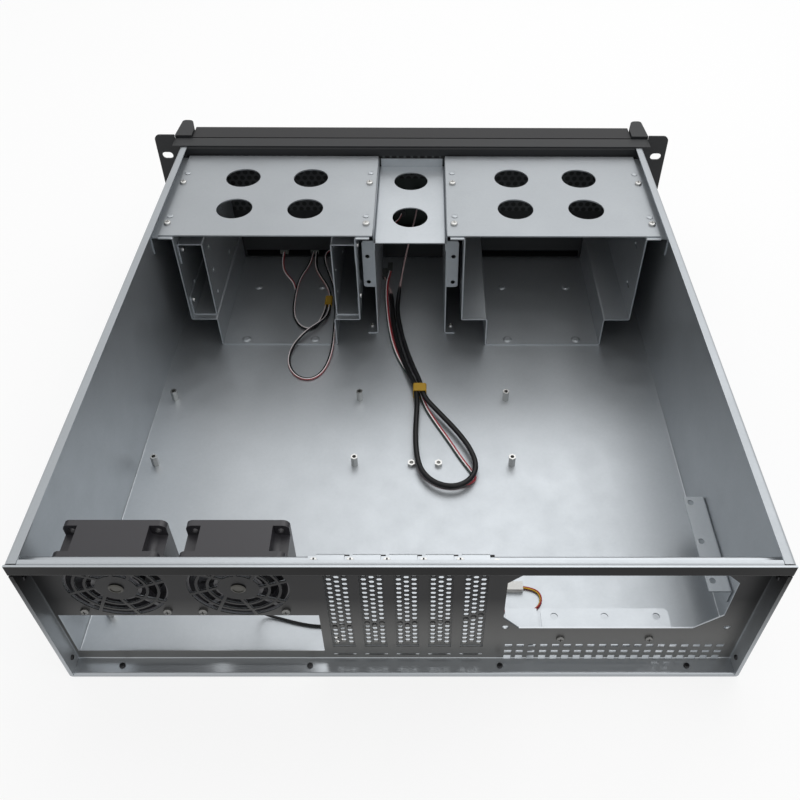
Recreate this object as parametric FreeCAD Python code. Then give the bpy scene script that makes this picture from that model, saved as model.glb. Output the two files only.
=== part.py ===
"""Empty three-unit rackmount server case with its cover off, in millimetres.

+Z is up and +X is the right-hand side as seen by someone in front of the case. The front faces
-Y and the rear panel faces +Y. The origin is at the middle of the footprint, on the underside.
"""
import FreeCAD, Part
import math
import os

os.makedirs("parts", exist_ok=True)
V = FreeCAD.Vector
ALONG = V(0, 1, 0)
TOOL_DEPTH = 8.0          # of the tools that cut holes through sheet

# ---- rack and body sizes ----
RACK_WIDTH = 482.6        # over the two ears
EAR_HEIGHT = 131.0
EAR_SLOTS_ACROSS = 465.1  # between slot centres
EAR_SLOTS_RISE = 88.9     # two rack units
EAR_SLOT_LENGTH = 10.3
EAR_SLOT_HEIGHT = 6.8
EAR_SHEET = 1.5
EAR_REACH = 37.0          # back along the wall
EAR_TRIMS = ((0, 8.0), (118.0, EAR_HEIGHT))   # ends of that part cut away
EAR_CORNER = 5.0
BODY_WIDTH = 430.0        # over the side walls
HALF = BODY_WIDTH / 2
BODY_HEIGHT = 126.3       # underside to the top of the side walls
TRAY_LENGTH = 464.7       # side walls and floor, front to rear
SHEET = 1.2               # steel of the tray and the panels
THIN_SHEET = 1.0          # steel of the cages and brackets
BEND = 0.8                # inside radius of a fold
TRAY_RIM = 6.5            # inward rim on top of the side walls
HANDLE_REACH = 30.0       # handles in front of the front frame
LIP = SHEET               # return of the rear panel over the tray's rear edge

# ---- rear panel ----
RECESS = 12.0             # rear edge to the outer face of the panel
LEDGE_TOP = BODY_HEIGHT - 8.6           # ledge that the slot covers are screwed to
RAIL_RIM = 3.4
RIM_GAP = 0.4             # between the rims of the side walls and the sheet that ends at them
IO_WIDTH = 158.75
IO_HEIGHT = 44.45
IO_LOW = 10.8
IO_EDGE_X = HALF - 4.6    # edge of the opening nearest the side wall
SLOT_COUNT = 5
SLOT_PITCH = 20.32
FIRST_SLOT_X = 38.6
SLOT_OPEN_WIDTH = 14.6
SLOT_OPEN_LOW = 16.5
SLOT_OPEN_HIGH = LEDGE_TOP - 11.7
SLIT_LOW = 6.0            # slit below each slot that the cover's tongue stands behind
SLIT_HEIGHT = 1.6
COVER_WIDTH = 18.4
COVER_LOW = 9.0
TONGUE_LOW = 5.0
TONGUE_WIDTH = 10.0
COVER_HOLE_R = 2.05
COVER_HOLE_PITCH = 4.8
COVER_HOLE_ROWS = 17
COVER_HOLE_COLUMNS = (-4.55, 0, 4.55)
COVER_HOLES_LOW = SLOT_OPEN_LOW + 3.9
COVER_TAB_LEFT = 6.5      # slot's middle to the edges of the cover's top tab
COVER_TAB_RIGHT = 13.6
COVER_SCREW = 10.2        # slot's middle to the screw of its cover
SCREW_BACK = 8.0          # rear edge to the screws' line
SCREW_R = 1.5
SCREW_HEAD_R = 2.9
SCREW_HEAD_HEIGHT = 2.0
SCREW_TOP_R = 2.0
SCREW_FIT = 0.4           # gap round a screw in its cover
SCREW_LENGTH = 4.0        # shank below the ledge's top
PSU_NEAR_X = -61.0        # edges of the supply opening
PSU_FAR_X = 19.0 - HALF
PSU_HIGH = LEDGE_TOP - 14.7
PSU_LOW = PSU_HIGH - 63.8
PSU_CORNER = 12.0
PSU_LOW_CORNERS = (10.5, 12.4, 15.7, 15.3)   # across and up: the near one, then the far one
PSU_HOLES_ACROSS = 138.0
PSU_HOLES_RISE = 64.0
PSU_HOLE_OFFSET = (-1.9, 1.6)                # first screw hole from the opening's lowest near corner
PSU_HOLE_R = 2.1
PSU_SHELF = PSU_LOW - 4.2                    # top of the brackets that the supply rests on
SHELF_SPAN = (-64.0, -168.0)
SHELF_REAR = 28.6         # rear edge of the case to the inner edge of the shelf
SHELF_HOLES = (-95.0, -127.0, -160.0)
SHELF_NOTCH = (-84.3, -86.6)
SHELF_HOLE_EDGE = 5.6     # shelf's inner edge to the middle of its holes
SHELF_HOLE_R = 2.4
SHELF_CORNER = 3.0
SHELF_LEG = 13.0
SIDE_SHELF = (118.0, 41.0)                   # its ends, from the rear edge of the case
SIDE_SHELF_WIDTH = 15.5
SIDE_SHELF_HOLES = (5.0, 38.0, 69.0)         # from its front end
SIDE_SHELF_HOLE_EDGE = 4.0
SIDE_SHELF_HOLE_R = 2.2
VENT_COLUMNS = 19
VENT_PITCH = 7.54
VENT_WIDTH = 4.7
VENT_NEAR_X = PSU_NEAR_X - 3.1
VENT_ROWS = ((16.2, 19.8), (8.7, 12.1))
VENT_FOLD_TOP = 5.5       # lowest row, cut through the fold

# ---- rear fans ----
FAN_SIZE = 60.0
FAN_DEPTH = 25.4
FAN_HOLES = 50.0
FAN_HEIGHT = LEDGE_TOP - SHEET - 0.7 - FAN_SIZE / 2    # axis above the underside
FAN_X = (HALF - 47.8, HALF - 119.1)
FAN_HOLE_R = 2.15
FAN_BORE_R = 28.6
FAN_FLANGE = 4.0
FAN_CORNER = 4.0
FAN_SCOOP = 4.2           # hollow round each screw, between the two flanges
FAN_WEB = 3.4             # hub and arms at the rear of the frame
FAN_ARM = 3.0
FAN_ARMS = 4
FAN_HUB_R = 14.5
ROTOR_GAP = 0.8           # between the rotor and the arms
BLADE_GAP = 1.0           # between the blades' tips and the bore
BLADES = 7
SHAFT_R = 1.5
SHAFT_FIT = 0.05
GRILLE_BANDS = ((12.2, 17.2), (18.8, 23.6), (25.2, 29.8))
GRILLE_SPOKES = 8
GRILLE_SPOKE = 2.0
GRILLE_SLANT = 22.0

# ---- front bays ----
PANEL_SETBACK = 14.7      # tray's front edge back to the inner front panel
CAGE_X = 120.0            # middle of each cage
CAGE_WIDTH = 150.4
CAGE_NARROW = 105.4
CAGE_LEDGE = 11.3
CAGE_STEP_TOP = 31.8
CAGE_TOP = BODY_HEIGHT - 9.5            # underside of the cage's top flanges
CAGE_LENGTH = 131.0
CAGE_GAP = 3.0            # inner front panel to the cage, and so on for the pieces below
CAGE_SLOTS = (28.0, 107.0)
CAGE_SLOT_HEIGHTS = (CAGE_STEP_TOP + 21.2, CAGE_TOP - 21.8)
CAGE_SLOT_LENGTH = 6.0
CAGE_SLOT_R = 1.8
BOSS_X = 31.5
BOSS_PLACES = (47.0, 124.5)
BOSS_R = (4.2, 2.4)
BOSS_HEIGHT = 0.8
PLATE_LENGTH = 128.5
PLATE_GAP = 2.6
PLATE_HOLE_R = 15.3
PLATE_HOLES_X = (-30.0, 30.6)
PLATE_HOLES_Y = (38.7, 88.5)
PLATE_PARTITION_GAP = 0.5
PLATE_SIDE_GAP = 8.5
PARTITION_X = 30.5        # inner face of each partition
PARTITION_LENGTH = 117.6
PARTITION_GAP = 0.1
PARTITION_TOP = 11.0
PARTITION_FOOT = 9.4
PARTITION_FLANGE = (10.8, 61.3, 12.5)   # reach, drop of its lower end and of its upper end
PARTITION_CORNER = 2.5
PARTITION_HOLES = (28.5, 56.0)          # drops of the flange's holes
PARTITION_HOLE_X = 6.5
PARTITION_HOLE_R = 1.9
BRIDGE_TOP = CAGE_TOP - 8.8
BRIDGE_LENGTH = 124.5
BRIDGE_GAP = 1.0
BRIDGE_SIDE = 8.0
BRIDGE_HOLES_X = 0.5
BRIDGE_HOLES_Y = (27.0, 86.2)
WALL_BRACKET = (16.8, 16.0)             # drop and width
CHANNEL_WIDTH = 21.0
CHANNEL_HEIGHT = CAGE_TOP - CAGE_STEP_TOP - 9.0
CHANNEL_LENGTH = 116.0
CHANNEL_GAP = 12.0
CHANNEL_LIP = 20.0
CHANNEL_HOLES_Y = (40.0, 100.0)
CHANNEL_HOLES_Z = (14.0, 38.0, 62.0)
PANEL_WINDOW = (24.0, 22.0, 32.3)       # half width, low edge, top edge below the rims
PANEL_SLOT = (3.4, 10.8)                # low opening in front of each cage

# ---- front ----
FRAME_OVERHANG = 7.0      # frame beyond each side wall
BEZEL_DEPTH = 21.0
BEZEL_WALL = 2.4
BAY_WIDTH = 149.0
BAY_LOW = CAGE_STEP_TOP + 1.8           # underside of the lower bay opening
BAY_HEIGHT = (CAGE_TOP - BAY_LOW) / 2
FIT = 0.25                # gap round a bay cover or a button
FRAME_RETURN = 16.1       # flange back over the side walls
FRAME_WINDOW = (22.0, 24.0, 34.3)       # half width, low edge, top edge below the rims
HANDLE_WIDTH = 15.5
HANDLE_LOW = 2.0
HANDLE_DROP = 1.5         # top of the ear down to the top of the handle
HANDLE_GAP = 0.6
HANDLE_TAPER = (1.8, 4.5, 15.0)         # outer side, inner side, where the inner taper starts
FINGER_SPACE = ((5.0, 18.0), (20.0, 22.0))   # depth and distance from the handle's end, twice
FINGER_CORNER = 4.0
BEZEL_HALF = HALF - 8.5   # middle to each end of the bezel
BEZEL_LOW = 1.0
BEZEL_ROUND = 1.5
BAY_MULLION = 1.8
COVER_FLANGE = (3.0, 1.8)               # reach past the opening, thickness
COVER_GROOVES = (8.0, 32.2)
COVER_GROOVE_WIDTH = 1.4
COVER_GROOVE_END = 6.0
AIR_SLOTS = 14
AIR_SLOT_PITCH = 10.0
AIR_SLOT = (7.2, 10.0, 24.0)            # width, low end, high end
POWER_Z = BODY_HEIGHT - 22.3
POWER_R = 7.0
RESET_Z = POWER_Z - 16.0
RESET_R = 2.6
LIGHT_Z = RESET_Z - 10.0
LIGHT_R = 1.5
LIGHT_X = (-8.0, 0.0, 8.0)
PORT_Z = (LIGHT_Z - 18.0, LIGHT_Z - 34.0)
PORT_SIZE = (12.6, 5.6)
PORT_WALL = 0.5
PORT_TONGUE = 1.7
PORT_GAP = 0.3
STEM_R = 1.5
BUTTON_TRAVEL = 1.5
BUTTON_PROUD = 1.0
BUTTON_STOP = 0.5         # left between the cap and its switch when pressed
SWITCH_SIZE = 8.0
SWITCH_DEPTH = 5.0
SWITCH_WALL = 0.3         # left behind the stem's bore
STEM_DEPTH = 2.4          # stem inside its switch at rest, less the travel
BOARD_GAP = 4.4           # control board in front of the frame
BOARD_THICK = 1.6
BOARD_HALF = 19.0
BOARD_SPAN = (PORT_Z[1] - 16.0, POWER_Z + 8.0)
SPACER_R = 2.5
SPACER_X = 16.0
SPACER_Z = (POWER_Z - 8.0, POWER_Z + 5.0)

# ---- board mounts ----
STANDOFF_HEIGHT = 10.0
STANDOFF_FLATS = 5.0
STANDOFF_THREAD = 1.5
STANDOFF_BORE = 6.0
BOARD_EDGE_X = HALF - 8.25              # board's edge on the fan side
BOARD_REAR = 10.6         # board's rear edge from the case's rear edge
BOARD_ROWS = (165.1, 237.49)            # holes from the board's rear edge
BOARD_COLUMNS = (6.35, 163.83, 288.29)  # holes from the board's edge on the fan side
BOARD_PORT_HOLES = ((33.02, 6.35), (10.16, 163.83), (10.16, 288.29))
SHORT_NUT_HEIGHT = 3.0
SHORT_NUT_FLATS = 5.5
SHORT_NUT_THREAD = 1.6
SHORT_NUT_BORE = 2.0
SHORT_NUT_X = (-2.1, -23.5)

# ---- wiring ----
CABLE = 4.4               # sleeved cable to the front controls, and so on: diameters
LEADS = 3.4               # three thin leads side by side
CAGE_LEADS = 2.6
BRANCH = 2.2
FAN_CABLE = 2.0
TIE_WALL = 0.8
HARNESS_TIE = (-14.0, -2.4, -8.5, 0.5, 11.5)   # low x, high x, front, rear, top
CAGE_TIE = (76.7, 83.9, -134.0, -121.5, 6.2)
TIE_CORNER = 2.0
SOCKET_DEPTH = 5.0
SOCKET_SIZE = (9.0, 8.0)
PLUG_LENGTH = 12.0
PLUG_HALF = 2.4
PLUG_HEIGHTS = (5.0, 4.0)  # on the sleeved cable and on its leads
CAGE_PLUG = (4.2, 9.0, 5.0)             # half width, length, height
FAN_PLUG = (3.2, 4.0)     # half width, height

# ---- places along the case ----
TOTAL_DEPTH = LIP + BEND + TRAY_LENGTH + BEND + SHEET + HANDLE_REACH
REAR_Y = TOTAL_DEPTH / 2
TRAY_REAR = REAR_Y - LIP - BEND
TRAY_FRONT = TRAY_REAR - TRAY_LENGTH
PANEL_OUT = REAR_Y - RECESS
PANEL_IN = PANEL_OUT - SHEET
WALL_IN = HALF - SHEET
FRONT_IN = TRAY_FRONT + PANEL_SETBACK   # rear face of the inner front panel
FRAME_BACK = TRAY_FRONT - BEND          # rear face of the front frame
FRAME_FACE = FRAME_BACK - SHEET
FRAME_TOP = BODY_HEIGHT + SHEET
TOUCH = 1e-6
SIDES = (("right", 1), ("left", -1))


def box(x0, x1, y0, y1, z0, z1):
    """Block between two corners, given in any order along each axis."""
    low = V(min(x0, x1), min(y0, y1), min(z0, z1))
    return Part.makeBox(abs(x1 - x0), abs(y1 - y0), abs(z1 - z0), low)


def rod(x, y, z, radius, length, axis=V(0, 0, 1)):
    return Part.makeCylinder(radius, length, V(x, y, z), axis)


def fuse(shapes):
    """One solid out of touching or crossing shapes, without the seams between them."""
    whole = shapes[0].multiFuse(shapes[1:]) if len(shapes) > 1 else shapes[0]
    return whole.removeSplitter()


def cut(shape, tools):
    return shape.cut(Part.makeCompound(tools))


def joined(stops, place):
    """Closed wire through stops, where a stop is a point or the three points of an arc."""
    runs = [[place(*q) for q in stop] for stop in stops]
    edges = [Part.Arc(*run).toShape() for run in runs if len(run) == 3]
    for before, after in zip(runs, runs[1:] + runs[:1]):
        if before[-1].distanceToPoint(after[0]) > TOUCH:
            edges.append(Part.makeLine(before[-1], after[0]))
    return Part.Wire(Part.__sortEdges__(edges))


def folded(path, thickness, bend, place, along):
    """Folded sheet: the path is one skin, the sheet lies to its left, swept by the vector along."""
    size = len(path)
    dirs = []
    for a, b in zip(path, path[1:]):
        run = math.hypot(b[0] - a[0], b[1] - a[1])
        dirs.append(((b[0] - a[0]) / run, (b[1] - a[1]) / run))
    lefts = [(-d[1], d[0]) for d in dirs]
    skin, back = [], []
    for i, p in enumerate(path):
        if i in (0, size - 1):
            n = lefts[0] if i == 0 else lefts[-1]
            skin.append((p,))
            back.append(((p[0] + n[0] * thickness, p[1] + n[1] * thickness),))
            continue
        d0, d1, n0, n1 = dirs[i - 1], dirs[i], lefts[i - 1], lefts[i]
        turn = math.atan2(d0[0] * d1[1] - d0[1] * d1[0], d0[0] * d1[0] + d0[1] * d1[1])
        reach = math.tan(abs(turn) / 2)
        mitre = (n0[0] + n1[0], n0[1] + n1[1])
        scale = thickness / (1 + n0[0] * n1[0] + n0[1] * n1[1])
        inner = (p[0] + mitre[0] * scale, p[1] + mitre[1] * scale)
        radii = (bend + thickness, bend) if turn > 0 else (bend, bend + thickness)
        for corner, radius, store in ((p, radii[0], skin), (inner, radii[1], back)):
            a = (corner[0] - d0[0] * radius * reach, corner[1] - d0[1] * radius * reach)
            b = (corner[0] + d1[0] * radius * reach, corner[1] + d1[1] * radius * reach)
            middle = (a[0] + b[0]) / 2, (a[1] + b[1]) / 2
            away = math.hypot(corner[0] - middle[0], corner[1] - middle[1])
            sag = radius * (1 - math.cos(abs(turn) / 2))
            top = (middle[0] + (corner[0] - middle[0]) * sag / away,
                   middle[1] + (corner[1] - middle[1]) * sag / away)
            store.append((a, top, b))
    back = [tuple(reversed(stop)) for stop in reversed(back)]
    return Part.Face(joined(skin + back, place)).extrude(along)


def outline(points, radii, place, along):
    """Closed outline with a radius at each corner (0 for sharp), swept by the vector along."""
    stops, size = [], len(points)
    for i, p in enumerate(points):
        r = radii[i]
        if not r:
            stops.append((p,))
            continue
        a, b = points[i - 1], points[(i + 1) % size]
        la, lb = math.dist(a, p), math.dist(b, p)
        da = ((a[0] - p[0]) / la, (a[1] - p[1]) / la)
        db = ((b[0] - p[0]) / lb, (b[1] - p[1]) / lb)
        half = math.acos(da[0] * db[0] + da[1] * db[1]) / 2
        reach = r / math.tan(half)
        deep = (r / math.sin(half) - r) / math.hypot(da[0] + db[0], da[1] + db[1])
        stops.append(((p[0] + da[0] * reach, p[1] + da[1] * reach),
                      (p[0] + (da[0] + db[0]) * deep, p[1] + (da[1] + db[1]) * deep),
                      (p[0] + db[0] * reach, p[1] + db[1] * reach)))
    return Part.Face(joined(stops, place)).extrude(along)


def save(name, shape):
    shape.exportStep("parts/" + name + ".step")
    print(f"{name}: {len(shape.Solids)} solid, {shape.Volume:.0f} mm3, {shape.isValid()}")


def mirrored(shape):
    """The other hand of a part, across the middle of the case."""
    return shape.mirror(V(0, 0, 0), V(1, 0, 0))


def across(x):
    """Placing of a side-on section (distance from the rear edge, height) at x."""
    return lambda u, z: V(x, REAR_Y - u, z)


def facing(y):
    """Placing of a front-on section (x, height) at y."""
    return lambda x, z: V(x, y, z)


def level(z):
    """Placing of a plan section (x, y) at height z."""
    return lambda x, y: V(x, y, z)


def drill(x, y, z, radius, length=TOOL_DEPTH):
    """Tool for a hole along Y, centred on y."""
    return rod(x, y - length / 2, z, radius, length, ALONG)


def bore_down(x, y, z, radius, length=TOOL_DEPTH):
    """Tool for an upright hole, centred on z."""
    return rod(x, y, z - length / 2, radius, length)


# ---- body ----
def chassis_tray():
    path = [(TRAY_RIM - HALF, BODY_HEIGHT), (-HALF, BODY_HEIGHT), (-HALF, 0), (HALF, 0),
            (HALF, BODY_HEIGHT), (HALF - TRAY_RIM, BODY_HEIGHT)]
    return folded(path, SHEET, BEND, facing(TRAY_FRONT), V(0, TRAY_LENGTH, 0))


def fan_grille(x):
    """Tools for one round grille: three bands of openings between two rings and slanted spokes."""
    span = 4 * SHEET
    y = PANEL_IN - span / 2
    rings = [rod(x, y, FAN_HEIGHT, far, span, ALONG).cut(rod(x, y, FAN_HEIGHT, near, span, ALONG))
             for near, far in GRILLE_BANDS]
    hub, rim = GRILLE_BANDS[0][0], GRILLE_BANDS[-1][1]
    arms = []
    for i in range(GRILLE_SPOKES):
        arm = box(0, rim + GRILLE_SPOKE, y, y + span, -GRILLE_SPOKE / 2, GRILLE_SPOKE / 2)
        arm.rotate(V(hub, y, 0), ALONG, GRILLE_SLANT)
        arm.rotate(V(0, y, 0), ALONG, i * 360 / GRILLE_SPOKES)
        arm.translate(V(x, 0, FAN_HEIGHT))
        arms.append(arm)
    return cut(Part.makeCompound(rings), arms)


def psu_opening():
    low, high, near, far, corner = PSU_LOW, PSU_HIGH, PSU_NEAR_X, PSU_FAR_X, PSU_CORNER
    in_near, up_near, in_far, up_far = PSU_LOW_CORNERS
    points = [(near, low + up_near), (near - in_near, low), (far + in_far, low), (far, low + up_far),
              (far, high - corner), (far + corner, high), (near - corner, high), (near, high - corner)]
    return outline(points, [0] * len(points), facing(PANEL_IN - SHEET), V(0, 4 * SHEET, 0))


def rear_panel():
    path = [(LIP, 0), (LIP, SHEET), (RECESS + SHEET, SHEET), (RECESS + SHEET, LEDGE_TOP),
            (SHEET, LEDGE_TOP), (SHEET, BODY_HEIGHT)]
    flange_top = LEDGE_TOP - SHEET
    shell = [folded(path, SHEET, BEND, across(-WALL_IN), V(2 * WALL_IN, 0, 0))]
    for side in (-1, 1):
        shell.append(box(side * (WALL_IN - SHEET), side * WALL_IN, PANEL_IN, REAR_Y, SHEET, flange_top))
        shell.append(box(side * WALL_IN, side * HALF, REAR_Y - LIP, REAR_Y, 0, flange_top))
        shell.append(box(side * WALL_IN, side * HALF, REAR_Y - LIP, REAR_Y, LEDGE_TOP, BODY_HEIGHT))
    corners = [(-HALF, 0), (HALF, 0), (HALF, BODY_HEIGHT), (-HALF, BODY_HEIGHT)]
    round_off = BEND + SHEET
    edge = outline(corners, [round_off, round_off, 0, 0], facing(REAR_Y - LIP), V(0, LIP, 0))
    corners = [(-WALL_IN, SHEET), (WALL_IN, SHEET), (WALL_IN, BODY_HEIGHT), (-WALL_IN, BODY_HEIGHT)]
    inside = outline(corners, [round_off, round_off, 0, 0], facing(PANEL_IN), V(0, RECESS + SHEET - LIP, 0))
    panel = fuse(shell).common(fuse([edge, inside]))

    y0, y1 = PANEL_IN - SHEET, PANEL_OUT + SHEET
    tools = [box(IO_EDGE_X, IO_EDGE_X - IO_WIDTH, y0, y1, IO_LOW, IO_LOW + IO_HEIGHT), psu_opening()]
    for x in FAN_X:
        tools.append(fan_grille(x))
        tools += [drill(hole_x, PANEL_IN, hole_z, FAN_HOLE_R) for hole_x, hole_z in fan_holes(x)]
    for x in slot_places():
        half = SLOT_OPEN_WIDTH / 2
        tools.append(box(x - half, x + half, y0, y1, SLOT_OPEN_LOW, SLOT_OPEN_HIGH))
        tools.append(box(x - half, x + half, y0, y1, SLIT_LOW, SLIT_LOW + SLIT_HEIGHT))
    tools += [bore_down(x, REAR_Y - SCREW_BACK, LEDGE_TOP, SCREW_R + SHAFT_FIT) for x in screw_places()]
    for x, z in psu_holes():
        tools.append(drill(x, PANEL_IN, z, PSU_HOLE_R))
    for i in range(VENT_COLUMNS):
        x = VENT_NEAR_X - i * VENT_PITCH
        tools += [box(x, x - VENT_WIDTH, y0, y1, low, high) for low, high in VENT_ROWS]
        tools.append(box(x, x - VENT_WIDTH, y0, PANEL_OUT + BEND, SHEET, VENT_FOLD_TOP))
    return cut(panel, tools)


def fan_holes(x):
    half = FAN_HOLES / 2
    return [(x + dx, FAN_HEIGHT + dz) for dx in (-half, half) for dz in (-half, half)]


def slot_places():
    return [FIRST_SLOT_X - i * SLOT_PITCH for i in range(SLOT_COUNT)]


def psu_holes():
    x0, z0 = PSU_NEAR_X + PSU_HOLE_OFFSET[0], PSU_LOW + PSU_HOLE_OFFSET[1]
    return [(x0 - dx, z0 + dz) for dx in (0, PSU_HOLES_ACROSS) for dz in (0, PSU_HOLES_RISE)]


def rear_rail():
    """Bare angle behind the top of the rear panel, which the cover is screwed down to."""
    end = HALF - TRAY_RIM - RIM_GAP
    path = [(SHEET + RAIL_RIM, BODY_HEIGHT - THIN_SHEET), (SHEET + THIN_SHEET, BODY_HEIGHT - THIN_SHEET),
            (SHEET + THIN_SHEET, LEDGE_TOP + BEND)]
    return folded(path[::-1], THIN_SHEET, BEND, across(-end), V(2 * end, 0, 0))


def slot_cover(x):
    back, half = RECESS + SHEET, COVER_WIDTH / 2
    path = [(RAIL_RIM, LEDGE_TOP), (back, LEDGE_TOP), (back, COVER_LOW)]
    width = half + COVER_TAB_LEFT
    blank = folded(path, THIN_SHEET, BEND, across(x - COVER_TAB_LEFT), V(width, 0, 0))
    y0, top = PANEL_IN - THIN_SHEET, LEDGE_TOP
    side = box(x - half, x - COVER_TAB_LEFT, y0, PANEL_IN, COVER_LOW, top - BEND)
    tab = box(x + half, x + COVER_TAB_RIGHT, PANEL_OUT, REAR_Y - RAIL_RIM, top, top + THIN_SHEET)
    reach = TONGUE_WIDTH / 2
    tongue = box(x - reach, x + reach, y0, PANEL_IN, TONGUE_LOW, COVER_LOW)
    tools = [bore_down(x + COVER_SCREW, REAR_Y - SCREW_BACK, top, SCREW_R + SCREW_FIT)]
    for row in range(COVER_HOLE_ROWS):
        for column in COVER_HOLE_COLUMNS:
            z = COVER_HOLES_LOW + row * COVER_HOLE_PITCH + (0 if column else COVER_HOLE_PITCH / 2)
            ring = hexagon(x + column, z, COVER_HOLE_R, 0)
            tools.append(outline(ring, [0] * 6, facing(y0 - THIN_SHEET), V(0, 3 * THIN_SHEET, 0)))
    return cut(fuse([blank, side, tab, tongue]), tools)


def hexagon(x, y, radius, first):
    """Corners of a hexagon, from the angle of its first one."""
    angles = [math.radians(first + i * 60) for i in range(6)]
    return [(x + radius * math.cos(a), y + radius * math.sin(a)) for a in angles]


def screw_places():
    """One screw to each slot cover, and one beyond the last."""
    last = FIRST_SLOT_X - SLOT_COUNT * SLOT_PITCH
    return [x + COVER_SCREW for x in slot_places() + [last]]


def slot_screws():
    """Pan-head screws, each with its head on the tab of a cover or, at the end, on the ledge."""
    screws = []
    for i, x in enumerate(screw_places()):
        seat = LEDGE_TOP + (THIN_SHEET if i < SLOT_COUNT else 0)
        y, low = REAR_Y - SCREW_BACK, LEDGE_TOP - SCREW_LENGTH
        head = Part.makeCone(SCREW_HEAD_R, SCREW_TOP_R, SCREW_HEAD_HEIGHT, V(x, y, seat))
        screws.append(fuse([head, rod(x, y, low, SCREW_R, seat - low)]))
    return Part.makeCompound(screws)


def psu_support_bracket():
    """Angle behind the rear panel whose shelf the power supply rests on."""
    back, near, far = RECESS + SHEET, *SHELF_SPAN
    path = [(SHELF_REAR, PSU_SHELF), (back, PSU_SHELF), (back, PSU_SHELF - SHELF_LEG)]
    bracket = folded(path, THIN_SHEET, BEND, across(far), V(near - far, 0, 0))
    z0, z1, edge = PSU_SHELF - 3 * THIN_SHEET, PSU_SHELF + 3 * THIN_SHEET, REAR_Y - SHELF_REAR
    tools = [box(*SHELF_NOTCH, REAR_Y - back - 2 * THIN_SHEET, edge - BEND, z0, z1)]
    tools += [bore_down(x, edge + SHELF_HOLE_EDGE, PSU_SHELF, SHELF_HOLE_R) for x in SHELF_HOLES]
    corner = SHELF_CORNER
    for x, inward in ((SHELF_NOTCH[1], -corner), (far, corner)):
        block = box(x, x + inward, edge, edge + corner, z0, z1)
        tools.append(block.cut(rod(x + inward, edge + corner, z0, corner, z1 - z0)))
    return cut(bracket, tools)


def psu_side_bracket():
    """Angle on the side wall that carries the outer edge of the power supply."""
    front, length = REAR_Y - SIDE_SHELF[0], SIDE_SHELF[0] - SIDE_SHELF[1]
    edge = SIDE_SHELF_WIDTH - WALL_IN
    path = [(edge, PSU_SHELF), (-WALL_IN, PSU_SHELF), (-WALL_IN, PSU_SHELF - SHELF_LEG)]
    bracket = folded(path, THIN_SHEET, BEND, facing(front), V(0, length, 0))
    hole_x = edge - SIDE_SHELF_HOLE_EDGE
    tools = [bore_down(hole_x, front + y, PSU_SHELF, SIDE_SHELF_HOLE_R) for y in SIDE_SHELF_HOLES]
    return cut(bracket, tools)


def standoff(x, y, flats, height, thread_r, depth):
    """Six-sided post on the floor with a threaded bore from its top."""
    post = outline(hexagon(x, y, flats / math.sqrt(3), 30), [0] * 6, level(SHEET), V(0, 0, height))
    return post.cut(rod(x, y, SHEET + height - depth, thread_r, 2 * depth))


def board_standoffs():
    """Nine mounts of a full-size board."""
    spots = list(BOARD_PORT_HOLES) + [(back, side) for back in BOARD_ROWS for side in BOARD_COLUMNS]
    rear = REAR_Y - BOARD_REAR
    return Part.makeCompound([standoff(BOARD_EDGE_X - side, rear - back, STANDOFF_FLATS, STANDOFF_HEIGHT,
                                       STANDOFF_THREAD, STANDOFF_BORE) for back, side in spots])


def floor_nuts():
    """Two short nuts in line with a row of the board's mounts."""
    y = REAR_Y - BOARD_REAR - BOARD_ROWS[0]
    return Part.makeCompound([standoff(x, y, SHORT_NUT_FLATS, SHORT_NUT_HEIGHT, SHORT_NUT_THREAD,
                                       SHORT_NUT_BORE) for x in SHORT_NUT_X])


# ---- rear fans ----
def fan_frame(x):
    """Square frame whose body is hollowed round the screws, with a hub on arms at its rear."""
    face, front, rear = FAN_SIZE / 2, PANEL_IN - FAN_DEPTH, PANEL_IN
    square = [(x - face, FAN_HEIGHT - face), (x + face, FAN_HEIGHT - face),
              (x + face, FAN_HEIGHT + face), (x - face, FAN_HEIGHT + face)]
    body = outline(square, [FAN_CORNER] * 4, facing(front), V(0, FAN_DEPTH, 0))
    tools = [rod(x, front - BEND, FAN_HEIGHT, FAN_BORE_R, FAN_DEPTH + 2 * BEND, ALONG)]
    near, far = front + FAN_FLANGE, rear - FAN_FLANGE
    for hole_x, hole_z in fan_holes(x):
        right, up = math.copysign(1, hole_x - x), math.copysign(1, hole_z - FAN_HEIGHT)
        corner_x, corner_z = x + right * face, FAN_HEIGHT + up * face
        tools.append(drill(hole_x, (front + rear) / 2, hole_z, FAN_HOLE_R, 2 * FAN_DEPTH))
        tools.append(rod(hole_x, near, hole_z, FAN_SCOOP, far - near, ALONG))
        tools.append(box(hole_x, corner_x, near, far, hole_z - up * FAN_SCOOP, corner_z))
        tools.append(box(hole_x - right * FAN_SCOOP, corner_x, near, far, hole_z, corner_z))
    arms = []
    for i in range(FAN_ARMS):
        arm = box(0, FAN_BORE_R + BEND, rear - FAN_WEB, rear, -FAN_ARM / 2, FAN_ARM / 2)
        arm.rotate(V(0, 0, 0), ALONG, 45 + i * 360 / FAN_ARMS)
        arm.translate(V(x, 0, FAN_HEIGHT))
        arms.append(arm)
    hub = rod(x, rear - FAN_WEB, FAN_HEIGHT, FAN_HUB_R, FAN_WEB, ALONG)
    web = fuse([hub] + arms).cut(drill(x, rear, FAN_HEIGHT, SHAFT_R + SHAFT_FIT, 4 * FAN_WEB))
    return fuse([cut(body, tools), web])


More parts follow.
